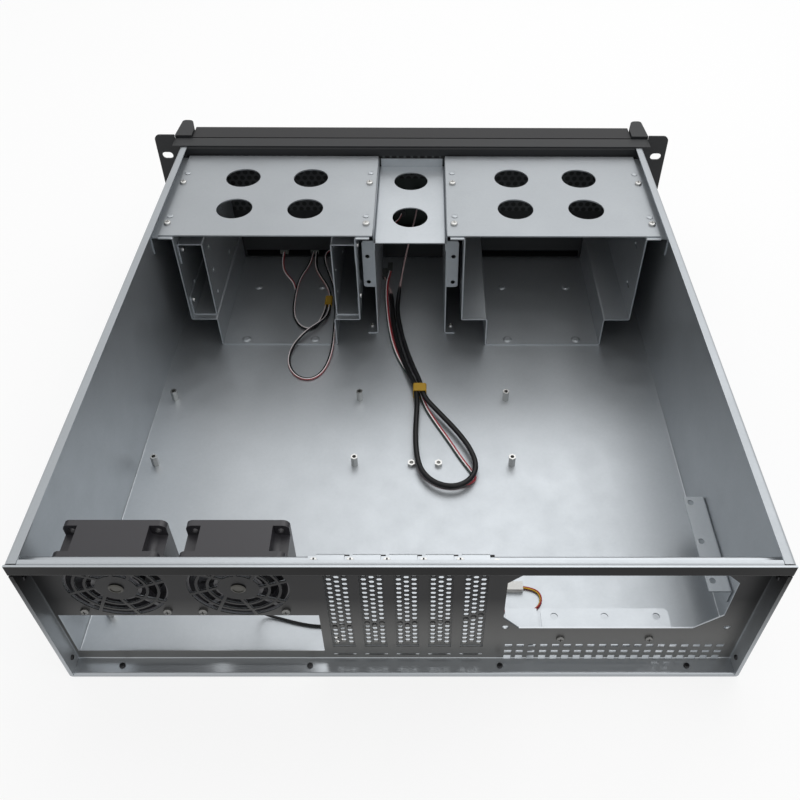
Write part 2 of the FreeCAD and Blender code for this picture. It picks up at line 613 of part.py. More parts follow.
def fan_rotor(x):
    """Hub cup, shaft and swept blades, turning about a line along Y."""
    y0, y1 = PANEL_IN - FAN_DEPTH + ROTOR_GAP, PANEL_IN - FAN_WEB - ROTOR_GAP
    hub = rod(x, y0, FAN_HEIGHT, FAN_HUB_R, y1 - y0, ALONG)
    shaft = rod(x, y1 - ROTOR_GAP, FAN_HEIGHT, SHAFT_R, FAN_WEB + ROTOR_GAP, ALONG)
    reach = FAN_BORE_R - BLADE_GAP
    limit = rod(x, y0, FAN_HEIGHT, reach, y1 - y0, ALONG)
    blades = [fan_blade((y0 + y1) / 2, reach + BLADE_GAP) for i in range(BLADES)]
    for i, blade in enumerate(blades):
        blade.rotate(V(0, 0, 0), ALONG, i * 360 / BLADES)
        blade.translate(V(x, 0, FAN_HEIGHT))
    return fuse([hub, shaft] + [blade.common(limit) for blade in blades])


def fan_blade(mid, reach):
    """One twisted, cambered blade standing out along +X from the axis of the fan."""
    rings = []
    for radius, sweep, chord, pitch in ((FAN_HUB_R - 1.5, 0, 14.5, 48), (reach, 9.0, 19.0, 33)):
        rise = chord / 2 * math.sin(math.radians(pitch))
        run = chord / 2 * math.cos(math.radians(pitch))
        ring = [V(radius, mid + along * rise + side, sweep + along * run)
                for side, along in ((0.6, -1), (1.4, 0), (0.6, 1), (-0.6, 1), (0.2, 0), (-0.6, -1))]
        rings.append(Part.makePolygon(ring + [ring[0]]))
    return Part.makeLoft(rings, True, True)


# ---- front bays ----
def partition():
    """Upright between the centre bay and a cage, with a foot, a top flange and a rear flange."""
    front = FRONT_IN + PARTITION_GAP
    x, top, rear = PARTITION_X, CAGE_TOP, front + PARTITION_LENGTH
    path = [(x + PARTITION_TOP, top), (x, top), (x, SHEET), (x + PARTITION_FOOT, SHEET)]
    sheet = folded(path, THIN_SHEET, BEND, facing(front), V(0, PARTITION_LENGTH, 0))
    reach, low, high = x + PARTITION_FLANGE[0], top - PARTITION_FLANGE[1], top - PARTITION_FLANGE[2]
    corners, corner = [(x, low), (reach, low), (reach, high), (x, high)], PARTITION_CORNER
    flange = outline(corners, [0, corner, corner, 0], facing(rear - THIN_SHEET), V(0, THIN_SHEET, 0))
    tools = [drill(x + PARTITION_HOLE_X, rear, top - drop, PARTITION_HOLE_R) for drop in PARTITION_HOLES]
    return cut(fuse([sheet, flange]), tools)


def bridge_plate():
    """Plate low between the two partitions, with an upturned front edge."""
    x, top, low, front = PARTITION_X, BRIDGE_TOP, BRIDGE_TOP - BRIDGE_SIDE, FRONT_IN + BRIDGE_GAP
    path = [(x, low), (x, top), (-x, top), (-x, low)]
    sheet = folded(path, THIN_SHEET, BEND, facing(front), V(0, BRIDGE_LENGTH, 0))
    end = x - BEND - THIN_SHEET
    upturn = box(-end, end, front, front + THIN_SHEET, top - THIN_SHEET, top + BRIDGE_SIDE)
    tools = [bore_down(BRIDGE_HOLES_X, front + y, top, PLATE_HOLE_R) for y in BRIDGE_HOLES_Y]
    return cut(fuse([sheet, upturn]), tools)


def drive_cage():
    """Stepped cage: wide bays over a narrow bay, folded from one sheet, open at the top."""
    c, wide, narrow, step = CAGE_X, CAGE_WIDTH / 2, CAGE_NARROW / 2, CAGE_STEP_TOP - THIN_SHEET
    front = FRONT_IN + CAGE_GAP
    left = [(c - wide - CAGE_LEDGE, CAGE_TOP), (c - wide, CAGE_TOP), (c - wide, step),
            (c - narrow, step), (c - narrow, SHEET)]
    path = left + [(2 * c - x, z) for x, z in reversed(left)]
    cage = folded(path, THIN_SHEET, BEND, facing(front), V(0, CAGE_LENGTH, 0))
    tools = [slot_hole(c, front + y, z) for y in CAGE_SLOTS for z in CAGE_SLOT_HEIGHTS]
    bosses = [Part.makeCone(*BOSS_R, BOSS_HEIGHT, V(c + dx, front + y, SHEET + THIN_SHEET))
              for dx in (-BOSS_X, BOSS_X) for y in BOSS_PLACES]
    return cut(fuse([cage] + bosses), tools)


def slot_hole(c, y, z):
    """Tool for a short slot along Y through both walls of a cage."""
    length, radius = CAGE_SLOT_LENGTH, CAGE_SLOT_R
    reach = CAGE_WIDTH / 2 + THIN_SHEET
    ends = [rod(c - reach, y + dy, z, radius, 2 * reach, V(1, 0, 0)) for dy in (-length / 2, length / 2)]
    middle = box(c - reach, c + reach, y - length / 2, y + length / 2, z - radius, z + radius)
    return fuse(ends + [middle])


def cage_top_plate():
    low, front = CAGE_TOP + THIN_SHEET, FRONT_IN + PLATE_GAP
    near, far = PARTITION_X + PLATE_PARTITION_GAP, HALF - PLATE_SIDE_GAP
    plate = box(near, far, front, front + PLATE_LENGTH, low, low + SHEET)
    tools = [bore_down(CAGE_X + dx, front + y, low, PLATE_HOLE_R)
             for dx in PLATE_HOLES_X for y in PLATE_HOLES_Y]
    return cut(plate, tools)


def wall_bracket():
    """Angle on the side wall under the outer flange of a cage."""
    drop, width = WALL_BRACKET
    path = [(WALL_IN, CAGE_TOP - drop), (WALL_IN, CAGE_TOP), (WALL_IN - width, CAGE_TOP)]
    return folded(path, THIN_SHEET, BEND, facing(FRONT_IN + PLATE_GAP), V(0, PLATE_LENGTH, 0))


def adapter_channel():
    """Channel that narrows a wide bay to a small drive, against the outer wall of the cage."""
    wall, low, front = CAGE_X + CAGE_WIDTH / 2 - THIN_SHEET, CAGE_STEP_TOP, FRONT_IN + CHANNEL_GAP
    x, high, lip = wall - CHANNEL_WIDTH, low + CHANNEL_HEIGHT, CHANNEL_LIP
    path = [(wall, high - lip), (wall, high), (x, high), (x, low), (wall, low), (wall, low + lip)]
    channel = folded(path, THIN_SHEET, BEND, facing(front), V(0, CHANNEL_LENGTH, 0))
    tools = [rod(x - THIN_SHEET, front + y, low + z, CAGE_SLOT_R, 3 * THIN_SHEET, V(1, 0, 0))
             for y in CHANNEL_HOLES_Y for z in CHANNEL_HOLES_Z]
    return cut(channel, tools)


def front_panel():
    """Inner steel panel with flanges forward on to the floor, the walls and under the front frame."""
    inner, front = REAR_Y - FRONT_IN, REAR_Y - TRAY_FRONT
    top, end = BODY_HEIGHT, HALF - TRAY_RIM - RIM_GAP
    path = [(front, top), (inner, top), (inner, SHEET), (front, SHEET)]
    shell = [folded(path, SHEET, BEND, across(-end), V(2 * end, 0, 0))]
    for side in (-1, 1):
        z0, z1 = 2 * SHEET, top - SHEET - BEND
        shell.append(box(side * end, side * WALL_IN, FRONT_IN - SHEET, FRONT_IN, z0, z1))
        shell.append(box(side * (WALL_IN - SHEET), side * WALL_IN, TRAY_FRONT, FRONT_IN, z0, z1))
    y0, y1, (half, low, drop) = FRONT_IN - 2 * SHEET, FRONT_IN + SHEET, PANEL_WINDOW
    tools = [box(-half, half, y0, y1, low, top - drop)]
    for _, side in SIDES:
        c, reach = side * CAGE_X, CAGE_NARROW / 2 - CAGE_GAP
        tools.append(box(c - reach, c + reach, y0, y1, *PANEL_SLOT))
    return cut(fuse(shell), tools)


# ---- front ----
def front_frame():
    """Folded steel front with windows for the bays and a flange back over the side walls."""
    half, front = HALF + FRAME_OVERHANG, REAR_Y - FRAME_FACE
    path = [(front, 0), (front, FRAME_TOP), (front - FRAME_RETURN, FRAME_TOP)]
    frame = folded(path, SHEET, BEND, across(-half), V(2 * half, 0, 0))
    y0, y1, (width, low, drop) = FRAME_FACE - SHEET, FRAME_BACK + SHEET, FRAME_WINDOW
    tools = [box(-width, width, y0, y1, low, BODY_HEIGHT - drop)]
    top = bay_floors()[1] + BAY_HEIGHT
    for _, side in SIDES:
        c = side * CAGE_X
        tools.append(box(c - BAY_WIDTH / 2, c + BAY_WIDTH / 2, y0, y1, BAY_LOW, top))
    return cut(frame, tools)


def bay_floors():
    """Underside of the lower and of the upper bay opening."""
    return BAY_LOW, BAY_LOW + BAY_HEIGHT + BAY_MULLION


def rack_ear():
    """Angle screwed to the outside of the wall, with two open slots for the rack's screws."""
    y, tip, wall, back = FRAME_BACK, RACK_WIDTH / 2, HALF + EAR_SHEET, FRAME_BACK + EAR_REACH
    path = [(tip, y + EAR_SHEET), (wall, y + EAR_SHEET), (wall, back)]
    angle = folded(path, EAR_SHEET, BEND, level(0), V(0, 0, EAR_HEIGHT))
    near, x0, x1 = y + EAR_SHEET + BEND, HALF - EAR_SHEET, wall + EAR_SHEET
    top = BODY_HEIGHT - BEND - RIM_GAP
    tools = [box(x0, x1, near, back + EAR_SHEET, z0, z1) for z0, z1 in EAR_TRIMS]
    tools.append(box(x0, HALF + FRAME_OVERHANG + RIM_GAP, y - EAR_SHEET, near + EAR_SHEET, top, EAR_HEIGHT))
    y0, y1 = y - TOOL_DEPTH / 2, y + TOOL_DEPTH / 2
    for z in ear_slots():
        flat = (EAR_SLOT_LENGTH - EAR_SLOT_HEIGHT) / 2
        x, radius = EAR_SLOTS_ACROSS / 2, EAR_SLOT_HEIGHT / 2
        ends = [drill(x + dx, y, z, radius) for dx in (-flat, flat)]
        tools.append(fuse(ends + [box(x - flat, x + flat, y0, y1, z - radius, z + radius)]))
    corner = EAR_CORNER
    for z, inward in ((0, 1), (EAR_HEIGHT, -1)):
        block = box(tip - corner, tip, y0, y1, z, z + inward * corner)
        tools.append(block.cut(drill(tip - corner, y, z + inward * corner, corner)))
    return cut(angle, tools)


def ear_slots():
    return [EAR_HEIGHT / 2 + rise * EAR_SLOTS_RISE / 2 for rise in (-1, 1)]


def handle():
    """Grip tapering to the front, with a space for the fingers through it."""
    y, low, high = FRAME_FACE, HANDLE_LOW, EAR_HEIGHT - HANDLE_DROP
    x0, front = BEZEL_HALF + HANDLE_GAP, FRAME_FACE - HANDLE_REACH
    x1, (outer, inner, shoulder) = x0 + HANDLE_WIDTH, HANDLE_TAPER
    plan = [(x0, y), (x1, y), (x1 - outer, front), (x0 + inner, front), (x0, y - shoulder)]
    grip = outline(plan, [0, 0, 3.0, 5.0, 4.0], level(low), V(0, 0, high - low))
    (back, end), (ahead, tip) = FINGER_SPACE
    corners = [(y - back, low + end), (y - ahead, low + tip), (y - ahead, high - tip),
               (y - back, high - end)]
    space = outline(corners, [FINGER_CORNER] * 4, lambda u, z: V(x0 - HANDLE_GAP, u, z),
                    V(HANDLE_WIDTH + 2 * HANDLE_GAP, 0, 0))
    return grip.cut(space)


def front_bezel():
    """Moulded face with openings for four bays, the controls and two rows of air slots."""
    y, front = FRAME_FACE, FRAME_FACE - BEZEL_DEPTH
    half, low, high, wall = BEZEL_HALF, BEZEL_LOW, FRAME_TOP, BEZEL_WALL
    body = box(-half, half, front, y, low, high)
    body = body.makeFillet(BEZEL_ROUND, [e for e in body.Edges if abs(e.BoundBox.YMax - front) < TOUCH])
    inner = box(wall - half, half - wall, front + wall, y + 1, low + wall, high - wall)
    tools, y0, y1 = [inner], front - 1, front + wall + 1
    for _, side in SIDES:
        c = side * CAGE_X
        tools += [box(c - BAY_WIDTH / 2, c + BAY_WIDTH / 2, y0, y1, z, z + BAY_HEIGHT) for z in bay_floors()]
        width, slot_low, slot_high = AIR_SLOT
        for i in range(AIR_SLOTS):
            x = c + (i - (AIR_SLOTS - 1) / 2) * AIR_SLOT_PITCH
            tools.append(box(x - width / 2, x + width / 2, y0, y1, slot_low, slot_high))
    tools.append(drill(0, front, POWER_Z, POWER_R + FIT))
    tools.append(drill(0, front, RESET_Z, RESET_R + FIT))
    tools += [drill(x, front, LIGHT_Z, LIGHT_R + SHAFT_FIT) for x in LIGHT_X]
    half_width, half_height = PORT_SIZE[0] / 2 + PORT_GAP, PORT_SIZE[1] / 2 + PORT_GAP
    tools += [box(-half_width, half_width, y0, y1, z - half_height, z + half_height) for z in PORT_Z]
    return cut(body, tools)


def bay_cover(c, low):
    """Snap-in cover: a face flush in its opening and a wider flange behind the bezel's wall."""
    front = FRAME_FACE - BEZEL_DEPTH
    half, back = BAY_WIDTH / 2, front + BEZEL_WALL
    z0, z1, (reach, thick) = low + FIT, low + BAY_HEIGHT - FIT, COVER_FLANGE
    face = box(c - half + FIT, c + half - FIT, front + FIT, back, z0, z1)
    flange = box(c - half - reach, c + half + reach, back, back + thick, z0, z1)
    end, deep = half - COVER_GROOVE_END, COVER_GROOVE_WIDTH
    tools = [box(c - end, c + end, front, front + deep, low + up, low + up + deep)
             for up in COVER_GROOVES]
    return cut(fuse([face, flange]), tools)


def board_front():
    return board_back() - BOARD_THICK


def board_back():
    return FRAME_FACE - BOARD_GAP


def control_board():
    return box(-BOARD_HALF, BOARD_HALF, board_front(), board_back(), *BOARD_SPAN)


def board_spacers():
    return Part.makeCompound([rod(x, board_back(), z, SPACER_R, BOARD_GAP, ALONG)
                              for x in (-SPACER_X, SPACER_X) for z in SPACER_Z])


def switch_body(z):
    y, half = board_front(), SWITCH_SIZE / 2
    body = box(-half, half, y - SWITCH_DEPTH, y, z - half, z + half)
    bore = rod(0, y - 2 * SWITCH_DEPTH, z, STEM_R + SHAFT_FIT, 2 * SWITCH_DEPTH - SWITCH_WALL, ALONG)
    return body.cut(bore)


def button(z, radius):
    """Cap with a stem that runs in its switch."""
    front = FRAME_FACE - BEZEL_DEPTH - BUTTON_PROUD
    switch = board_front() - SWITCH_DEPTH
    back = switch - BUTTON_TRAVEL - BUTTON_STOP
    cap = rod(0, front, z, radius, back - front, ALONG)
    return fuse([cap, rod(0, back - BUTTON_STOP, z, STEM_R, switch - back + BUTTON_STOP + STEM_DEPTH, ALONG)])


def indicator_lights():
    front, back = FRAME_FACE - BEZEL_DEPTH - PORT_GAP, board_front()
    return Part.makeCompound([rod(x, front, LIGHT_Z, LIGHT_R, back - front, ALONG) for x in LIGHT_X])


def front_ports():
    """Two metal sockets on the control board, each with its tongue."""
    front, back, wall, sockets = FRAME_FACE - BEZEL_DEPTH + PORT_GAP, board_front(), PORT_WALL, []
    half, rise = PORT_SIZE[0] / 2, PORT_SIZE[1] / 2
    for z in PORT_Z:
        shell = box(-half, half, front, back, z - rise, z + rise)
        low, high = z - rise + wall, z + rise - wall
        hollow = box(wall - half, half - wall, front - wall, back - 4 * wall, low, high)
        tongue = box(3 * wall - half, half - 3 * wall, front + wall, back - wall, z, z + PORT_TONGUE)
        sockets.append(fuse([shell.cut(hollow), tongue]))
    return Part.makeCompound(sockets)


# ---- wiring ----
HARNESS_ROUTE = [
    (-6.0, -218.75, 66.0), (-5.5, -204.0, 65.0), (-2.5, -188.5, 57.0), (2.5, -175.5, 43.0),
    (7.0, -163.0, 28.0), (10.5, -148.5, 15.5), (13.0, -130.0, 9.0), (13.8, -112.0, 7.4),
    (11.7, -91.2, 7.3), (6.5, -63.3, 7.5), (-1.2, -34.3, 7.9), (-8.2, -14.0, 8.4), (-11.6, 4.5, 8.3),
    (-20.3, 17.0, 7.7), (-29.3, 29.3, 7.3), (-37.6, 41.5, 7.4), (-44.8, 53.5, 7.3), (-50.0, 65.2, 7.3),
    (-52.6, 75.5, 7.2), (-52.2, 84.5, 7.3), (-48.5, 92.2, 7.3), (-42.6, 97.6, 7.2), (-35.0, 100.2, 7.3),
    (-27.0, 99.4, 7.3), (-19.2, 95.6, 7.2), (-12.6, 88.8, 7.3), (-8.2, 79.5, 7.3), (-5.8, 65.5, 7.4),
    (-5.0, 48.0, 7.3), (-5.4, 31.5, 7.5), (-6.1, 15.5, 8.0), (-5.9, 2.0, 8.4), (-4.8, -10.5, 8.2),
    (1.5, -21.5, 6.8), (10.0, -34.0, 4.8), (17.4, -50.0, 3.8), (22.4, -69.0, 3.5), (26.0, -91.0, 3.4),
    (27.5, -116.0, 3.5), (27.9, -143.0, 3.4), (27.6, -166.0, 3.5)]
LEAD_ROUTE = [
    (22.6, -177.0, 3.0), (23.3, -158.0, 2.9), (23.3, -136.0, 3.0), (22.2, -113.5, 2.9),
    (19.8, -92.0, 3.0), (15.8, -72.0, 2.9), (10.2, -54.0, 3.0), (3.4, -38.0, 3.1), (-3.6, -24.5, 3.4),
    (-8.8, -11.5, 3.9), (-10.9, 2.5, 3.9), (-15.2, 15.5, 3.3), (-22.8, 29.5, 2.9), (-30.6, 43.5, 3.0),
    (-38.2, 57.0, 2.9), (-45.0, 70.5, 3.0), (-51.0, 82.5, 2.9), (-53.0, 91.5, 3.0), (-47.5, 98.0, 2.9),
    (-37.5, 100.4, 3.0), (-27.5, 99.4, 2.9), (-19.0, 95.4, 3.0), (-12.6, 88.6, 2.9), (-8.6, 79.5, 3.0),
    (-6.4, 65.5, 2.9), (-5.4, 48.0, 3.0), (-5.8, 31.5, 2.9), (-6.3, 15.5, 3.3), (-6.3, -1.5, 3.9)]
CAGE_ROUTE = [
    (12.0, -218.75, 44.0), (13.6, -211.8, 41.5), (24.0, -210.8, 34.0), (40.0, -211.0, 23.0),
    (60.0, -211.6, 13.5), (78.0, -211.0, 8.5), (89.0, -206.0, 6.9), (90.5, -195.0, 5.5),
    (87.0, -182.0, 4.0), (82.0, -167.0, 3.6), (77.0, -150.0, 3.6), (73.8, -130.0, 3.7),
    (72.4, -109.0, 3.6), (72.0, -88.0, 3.7), (71.6, -71.0, 4.2), (72.0, -57.0, 3.6), (74.5, -41.0, 2.6),
    (79.5, -28.0, 2.7), (87.5, -21.8, 2.6), (96.5, -23.2, 2.7), (104.0, -30.5, 2.6), (108.6, -41.0, 2.7),
    (109.6, -53.0, 2.8), (107.2, -64.5, 3.8), (101.6, -74.0, 5.7), (95.0, -82.0, 7.8), (87.6, -89.8, 7.7),
    (81.4, -99.5, 5.8), (78.6, -112.0, 4.3), (78.6, -127.0, 4.2), (79.8, -140.5, 4.0),
    (84.6, -153.5, 4.6), (91.0, -166.0, 3.9), (96.8, -179.5, 3.9), (98.8, -193.0, 4.8),
    (99.0, -206.5, 5.2)]
CAGE_LOOP_ROUTE = [
    (103.2, -206.5, 5.2), (103.6, -194.0, 4.6), (106.4, -181.5, 3.8), (110.6, -169.5, 3.7),
    (113.0, -155.5, 3.6), (113.6, -137.5, 3.7), (113.2, -119.5, 3.6), (111.0, -105.0, 3.7),
    (106.0, -94.0, 3.6), (98.8, -87.4, 3.7), (91.6, -88.0, 3.6), (87.0, -95.5, 3.7), (84.2, -105.5, 3.8),
    (82.2, -116.0, 4.2), (81.8, -128.0, 4.2)]
BRANCH_ROUTE = [
    (114.4, -147.0, 3.5), (116.6, -156.0, 3.4), (121.0, -163.5, 3.5), (126.5, -171.5, 3.4),
    (130.6, -181.5, 3.6), (132.4, -193.5, 4.6), (132.6, -206.5, 5.0)]
FAN_ROUTE = [
    (101.0, 213.5, 55.8), (101.2, 213.2, 45.0), (100.8, 211.6, 33.0), (100.9, 209.4, 21.0),
    (99.6, 207.4, 10.5), (94.0, 207.4, 3.4), (84.0, 209.8, 2.4), (71.5, 213.2, 2.3), (57.5, 215.4, 2.4),
    (41.0, 214.0, 2.3), (24.0, 211.8, 2.4), (6.0, 213.0, 2.3), (-12.0, 210.6, 2.4), (-30.0, 211.6, 2.3),
    (-46.0, 207.4, 2.4), (-59.0, 203.6, 2.3), (-71.0, 203.4, 2.4), (-82.0, 205.0, 2.3),
    (-90.6, 201.4, 2.4), (-94.0, 193.4, 2.3), (-89.6, 186.6, 2.4), (-81.0, 185.4, 2.3)]


def cord(name, route, diameter):
    """Tube along a route: straight runs, and at each point an arc as large as its two runs allow."""
    points = [V(*p) for p in route]
    edges, start, tightest = [], points[0], math.inf
    for before, corner, after in zip(points, points[1:], points[2:]):
        back, ahead = before - corner, after - corner
        reach = 0.45 * min(back.Length, ahead.Length)
        back.normalize()
        ahead.normalize()
        half_turn = (math.pi - back.getAngle(ahead)) / 2
        radius = reach / math.tan(half_turn)
        tightest = min(tightest, radius)
        inward = (back + ahead).normalize() * (radius / math.cos(half_turn) - radius)
        near, far = corner + back * reach, corner + ahead * reach
        edges.append(Part.LineSegment(start, near).toShape())
        edges.append(Part.Arc(near, corner + inward, far).toShape())
        start = far
    edges.append(Part.LineSegment(start, points[-1]).toShape())
    path = Part.Wire(edges)
    ring = Part.Wire(Part.Circle(points[0], points[1] - points[0], diameter / 2).toShape())
    tube = path.makePipeShell([ring], True, True)
    share = tube.Volume / (math.pi * diameter ** 2 / 4 * path.Length)
    print(f"{name}: {path.Length:.0f} mm long, tightest radius {tightest:.1f} mm, volume {share:.4f}")
    return tube


def tie(low_x, high_x, front, rear, top, seat):
    """Soft band round a bundle of wires, flat on what it lies on."""
    corner, wall, length = TIE_CORNER, TIE_WALL, rear - front
    square = [(low_x, seat), (high_x, seat), (high_x, top), (low_x, top)]
    band = outline(square, [corner] * 4, facing(front), V(0, length, 0))
    inner = [(low_x + wall, seat + wall), (high_x - wall, seat + wall),
             (high_x - wall, top - wall), (low_x + wall, top - wall)]
    return band.cut(outline(inner, [corner - wall] * 4, facing(front - wall), V(0, length + 2 * wall, 0)))


def board_sockets():
    """Sockets on the rear of the control board that the wires leave from."""
    back, half, rise = board_back(), SOCKET_SIZE[0] / 2, SOCKET_SIZE[1] / 2
    return Part.makeCompound([box(x - half, x + half, back, back + SOCKET_DEPTH, z - rise, z + rise)
                              for x, _, z in (HARNESS_ROUTE[0], CAGE_ROUTE[0])])


def harness_plugs():
    """Plugs on the free ends of the sleeved cable and of its leads."""
    ends = (HARNESS_ROUTE[-1], LEAD_ROUTE[0])
    return Part.makeCompound([box(x - PLUG_HALF, x + PLUG_HALF, y - PLUG_LENGTH, y, SHEET, SHEET + height)
                              for (x, y, _), height in zip(ends, PLUG_HEIGHTS)])


def cage_plugs():
    """Plugs in front of the inner panel that the cage's wires end in."""
    y, low, (half, length, height) = CAGE_ROUTE[-1][1], 2 * SHEET, CAGE_PLUG
    pair, branch_x = (CAGE_ROUTE[-1][0] + CAGE_LOOP_ROUTE[0][0]) / 2, BRANCH_ROUTE[-1][0]
    return Part.makeCompound([box(x - half, x + half, y - length, y, low, low + height)
                              for x in (pair, branch_x)])


def fan_plug():
    x, y, _ = FAN_ROUTE[-1]
    half, height = FAN_PLUG
    return box(x, x + PLUG_LENGTH, y - half, y + half, SHEET, SHEET + height)


save("chassis_tray", chassis_tray())
save("rear_panel", rear_panel())
save("rear_rail", rear_rail())
for number, place_x in enumerate(slot_places(), 1):
    save(f"slot_cover_{number}", slot_cover(place_x))
save("psu_support_bracket", psu_support_bracket())
save("psu_side_bracket", psu_side_bracket())
save("slot_screws", slot_screws())
save("board_standoffs", board_standoffs())
save("floor_nuts", floor_nuts())
for name, place_x in zip(("outer", "inner"), FAN_X):
    save(f"rear_fan_{name}_frame", fan_frame(place_x))
    save(f"rear_fan_{name}_rotor", fan_rotor(place_x))
for name, side in SIDES:
    for make in (partition, drive_cage, cage_top_plate, wall_bracket, rack_ear, handle):
        shape = make()
        save(f"{make.__name__}_{name}", shape if side > 0 else mirrored(shape))
    for height, low in zip(("lower", "upper"), bay_floors()):
        save(f"bay_cover_{name}_{height}", bay_cover(side * CAGE_X, low))
channel = adapter_channel()
save("adapter_channel_outer", channel)
save("adapter_channel_inner", channel.mirror(V(CAGE_X, 0, 0), V(1, 0, 0)))
save("bridge_plate", bridge_plate())
save("front_panel", front_panel())
save("front_frame", front_frame())
save("front_bezel", front_bezel())
save("control_board", control_board())
save("control_board_spacers", board_spacers())
save("power_switch", switch_body(POWER_Z))
save("reset_switch", switch_body(RESET_Z))
save("power_button", button(POWER_Z, POWER_R))
save("reset_button", button(RESET_Z, RESET_R))
save("indicator_lights", indicator_lights())
save("front_ports", front_ports())
save("board_sockets", board_sockets())
save("harness_cable", cord("harness_cable", HARNESS_ROUTE, CABLE))
save("harness_leads", cord("harness_leads", LEAD_ROUTE, LEADS))
save("harness_tie", tie(*HARNESS_TIE, SHEET))
save("harness_plugs", harness_plugs())
save("cage_leads", cord("cage_leads", CAGE_ROUTE, CAGE_LEADS))
save("cage_lead_loop", cord("cage_lead_loop", CAGE_LOOP_ROUTE, CAGE_LEADS))
save("cage_lead_branch", cord("cage_lead_branch", BRANCH_ROUTE, BRANCH))
save("cage_tie", tie(*CAGE_TIE, SHEET + THIN_SHEET))
save("cage_plugs", cage_plugs())
save("fan_cable", cord("fan_cable", FAN_ROUTE, FAN_CABLE))
save("fan_plug", fan_plug())
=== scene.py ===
"""Empty rackmount server case with its cover off: finishes, wiring, screws, light and camera."""
import bpy
import math
from mathutils import Matrix, Vector


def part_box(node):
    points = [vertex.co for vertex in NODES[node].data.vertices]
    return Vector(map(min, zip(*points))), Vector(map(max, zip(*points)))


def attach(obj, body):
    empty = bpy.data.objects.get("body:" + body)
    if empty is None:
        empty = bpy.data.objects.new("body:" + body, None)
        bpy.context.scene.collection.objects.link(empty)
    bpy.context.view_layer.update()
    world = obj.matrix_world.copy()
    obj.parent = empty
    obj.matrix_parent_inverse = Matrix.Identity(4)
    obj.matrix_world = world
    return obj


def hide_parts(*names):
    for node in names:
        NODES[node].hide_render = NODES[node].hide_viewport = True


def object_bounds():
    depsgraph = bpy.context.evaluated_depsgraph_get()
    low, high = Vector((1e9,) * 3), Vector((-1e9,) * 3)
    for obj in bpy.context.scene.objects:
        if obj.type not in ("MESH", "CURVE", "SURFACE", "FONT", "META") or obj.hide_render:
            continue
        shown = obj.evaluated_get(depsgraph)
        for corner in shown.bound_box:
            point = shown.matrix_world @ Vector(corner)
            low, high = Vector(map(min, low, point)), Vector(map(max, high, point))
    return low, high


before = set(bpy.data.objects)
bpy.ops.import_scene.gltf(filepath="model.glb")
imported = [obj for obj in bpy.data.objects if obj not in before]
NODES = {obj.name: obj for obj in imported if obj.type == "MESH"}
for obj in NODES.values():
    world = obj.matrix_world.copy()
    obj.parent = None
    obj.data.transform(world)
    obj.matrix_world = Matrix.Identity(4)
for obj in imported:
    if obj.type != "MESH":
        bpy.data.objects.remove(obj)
CAD_BOX = [list(corner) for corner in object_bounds()]
MM = 0.001

# ---- sizes read from the frame ----
CASE_LOW, CASE_HIGH = (Vector(corner) for corner in CAD_BOX)
CASE_BOX = {node: [Vector(corner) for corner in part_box(node)] for node in NODES}
RIM_TOP = CASE_BOX["chassis_tray"][1].z
PLATE_TOP = CASE_BOX["cage_top_plate_left"][1].z
LEDGE_TOP = CASE_BOX["drive_cage_left"][1].z - 0.1 * MM            # ledge along the top of the rear panel
PANEL_HALF = CASE_BOX["rear_panel"][1].x
PANEL_OUT = CASE_BOX["rear_fan_outer_frame"][1].y + 1.2 * MM       # outer face of the rear panel


def clear_selection():
    bpy.ops.object.select_all(action="DESELECT")


# ---- camera, lamps and backdrop ----
CAMERA_PLACE = (-12.74 * MM, 502.06 * MM, 515.68 * MM)
CAMERA_TURN = (46.04, -0.26, 179.865)      # degrees
CAMERA_LENS = 37.69
CAMERA_SENSOR = 36
CAMERA_SHIFT = (-0.0364, -0.0339)
CAMERA_NEAR = 0.01
LAMPS = (                                  # name, place, aim, width, power
    ("key_lamp", (-0.35, -0.75, 1.5), (-0.05, 0.1, 0), 1.5, 9),
    ("fill_lamp", (-0.7, 0.8, 1.5), (0, 0, 0), 1.4, 3))
SKY = 0.72                                 # light of the surroundings
FLOOR_WIDTH = 14
FLOOR_DROP = 0.2 * MM                      # under the case
FLOOR_TONE = (0.92, 0.92, 0.92, 1)
FLOOR_GLOW = 0.8                           # share of plain white in the floor that is seen
WHITE = (1, 1, 1, 1)


def add_camera():
    bpy.ops.object.camera_add(location=CAMERA_PLACE, rotation=[math.radians(turn) for turn in CAMERA_TURN])
    camera = bpy.context.object
    camera.name = "camera"
    camera.data.lens = CAMERA_LENS
    camera.data.sensor_width = CAMERA_SENSOR
    camera.data.shift_x, camera.data.shift_y = CAMERA_SHIFT
    camera.data.clip_start = CAMERA_NEAR
    bpy.context.scene.camera = camera


def add_lamp(name, place, aim, width, power):
    bpy.ops.object.light_add(type="AREA", location=place)
    lamp = bpy.context.object
    lamp.name = name
    lamp.data.shape = "SQUARE"
    lamp.data.size = width
    lamp.data.energy = power
    toward = Vector(aim) - Vector(place)
    lamp.rotation_euler = toward.to_track_quat("-Z", "Y").to_euler()


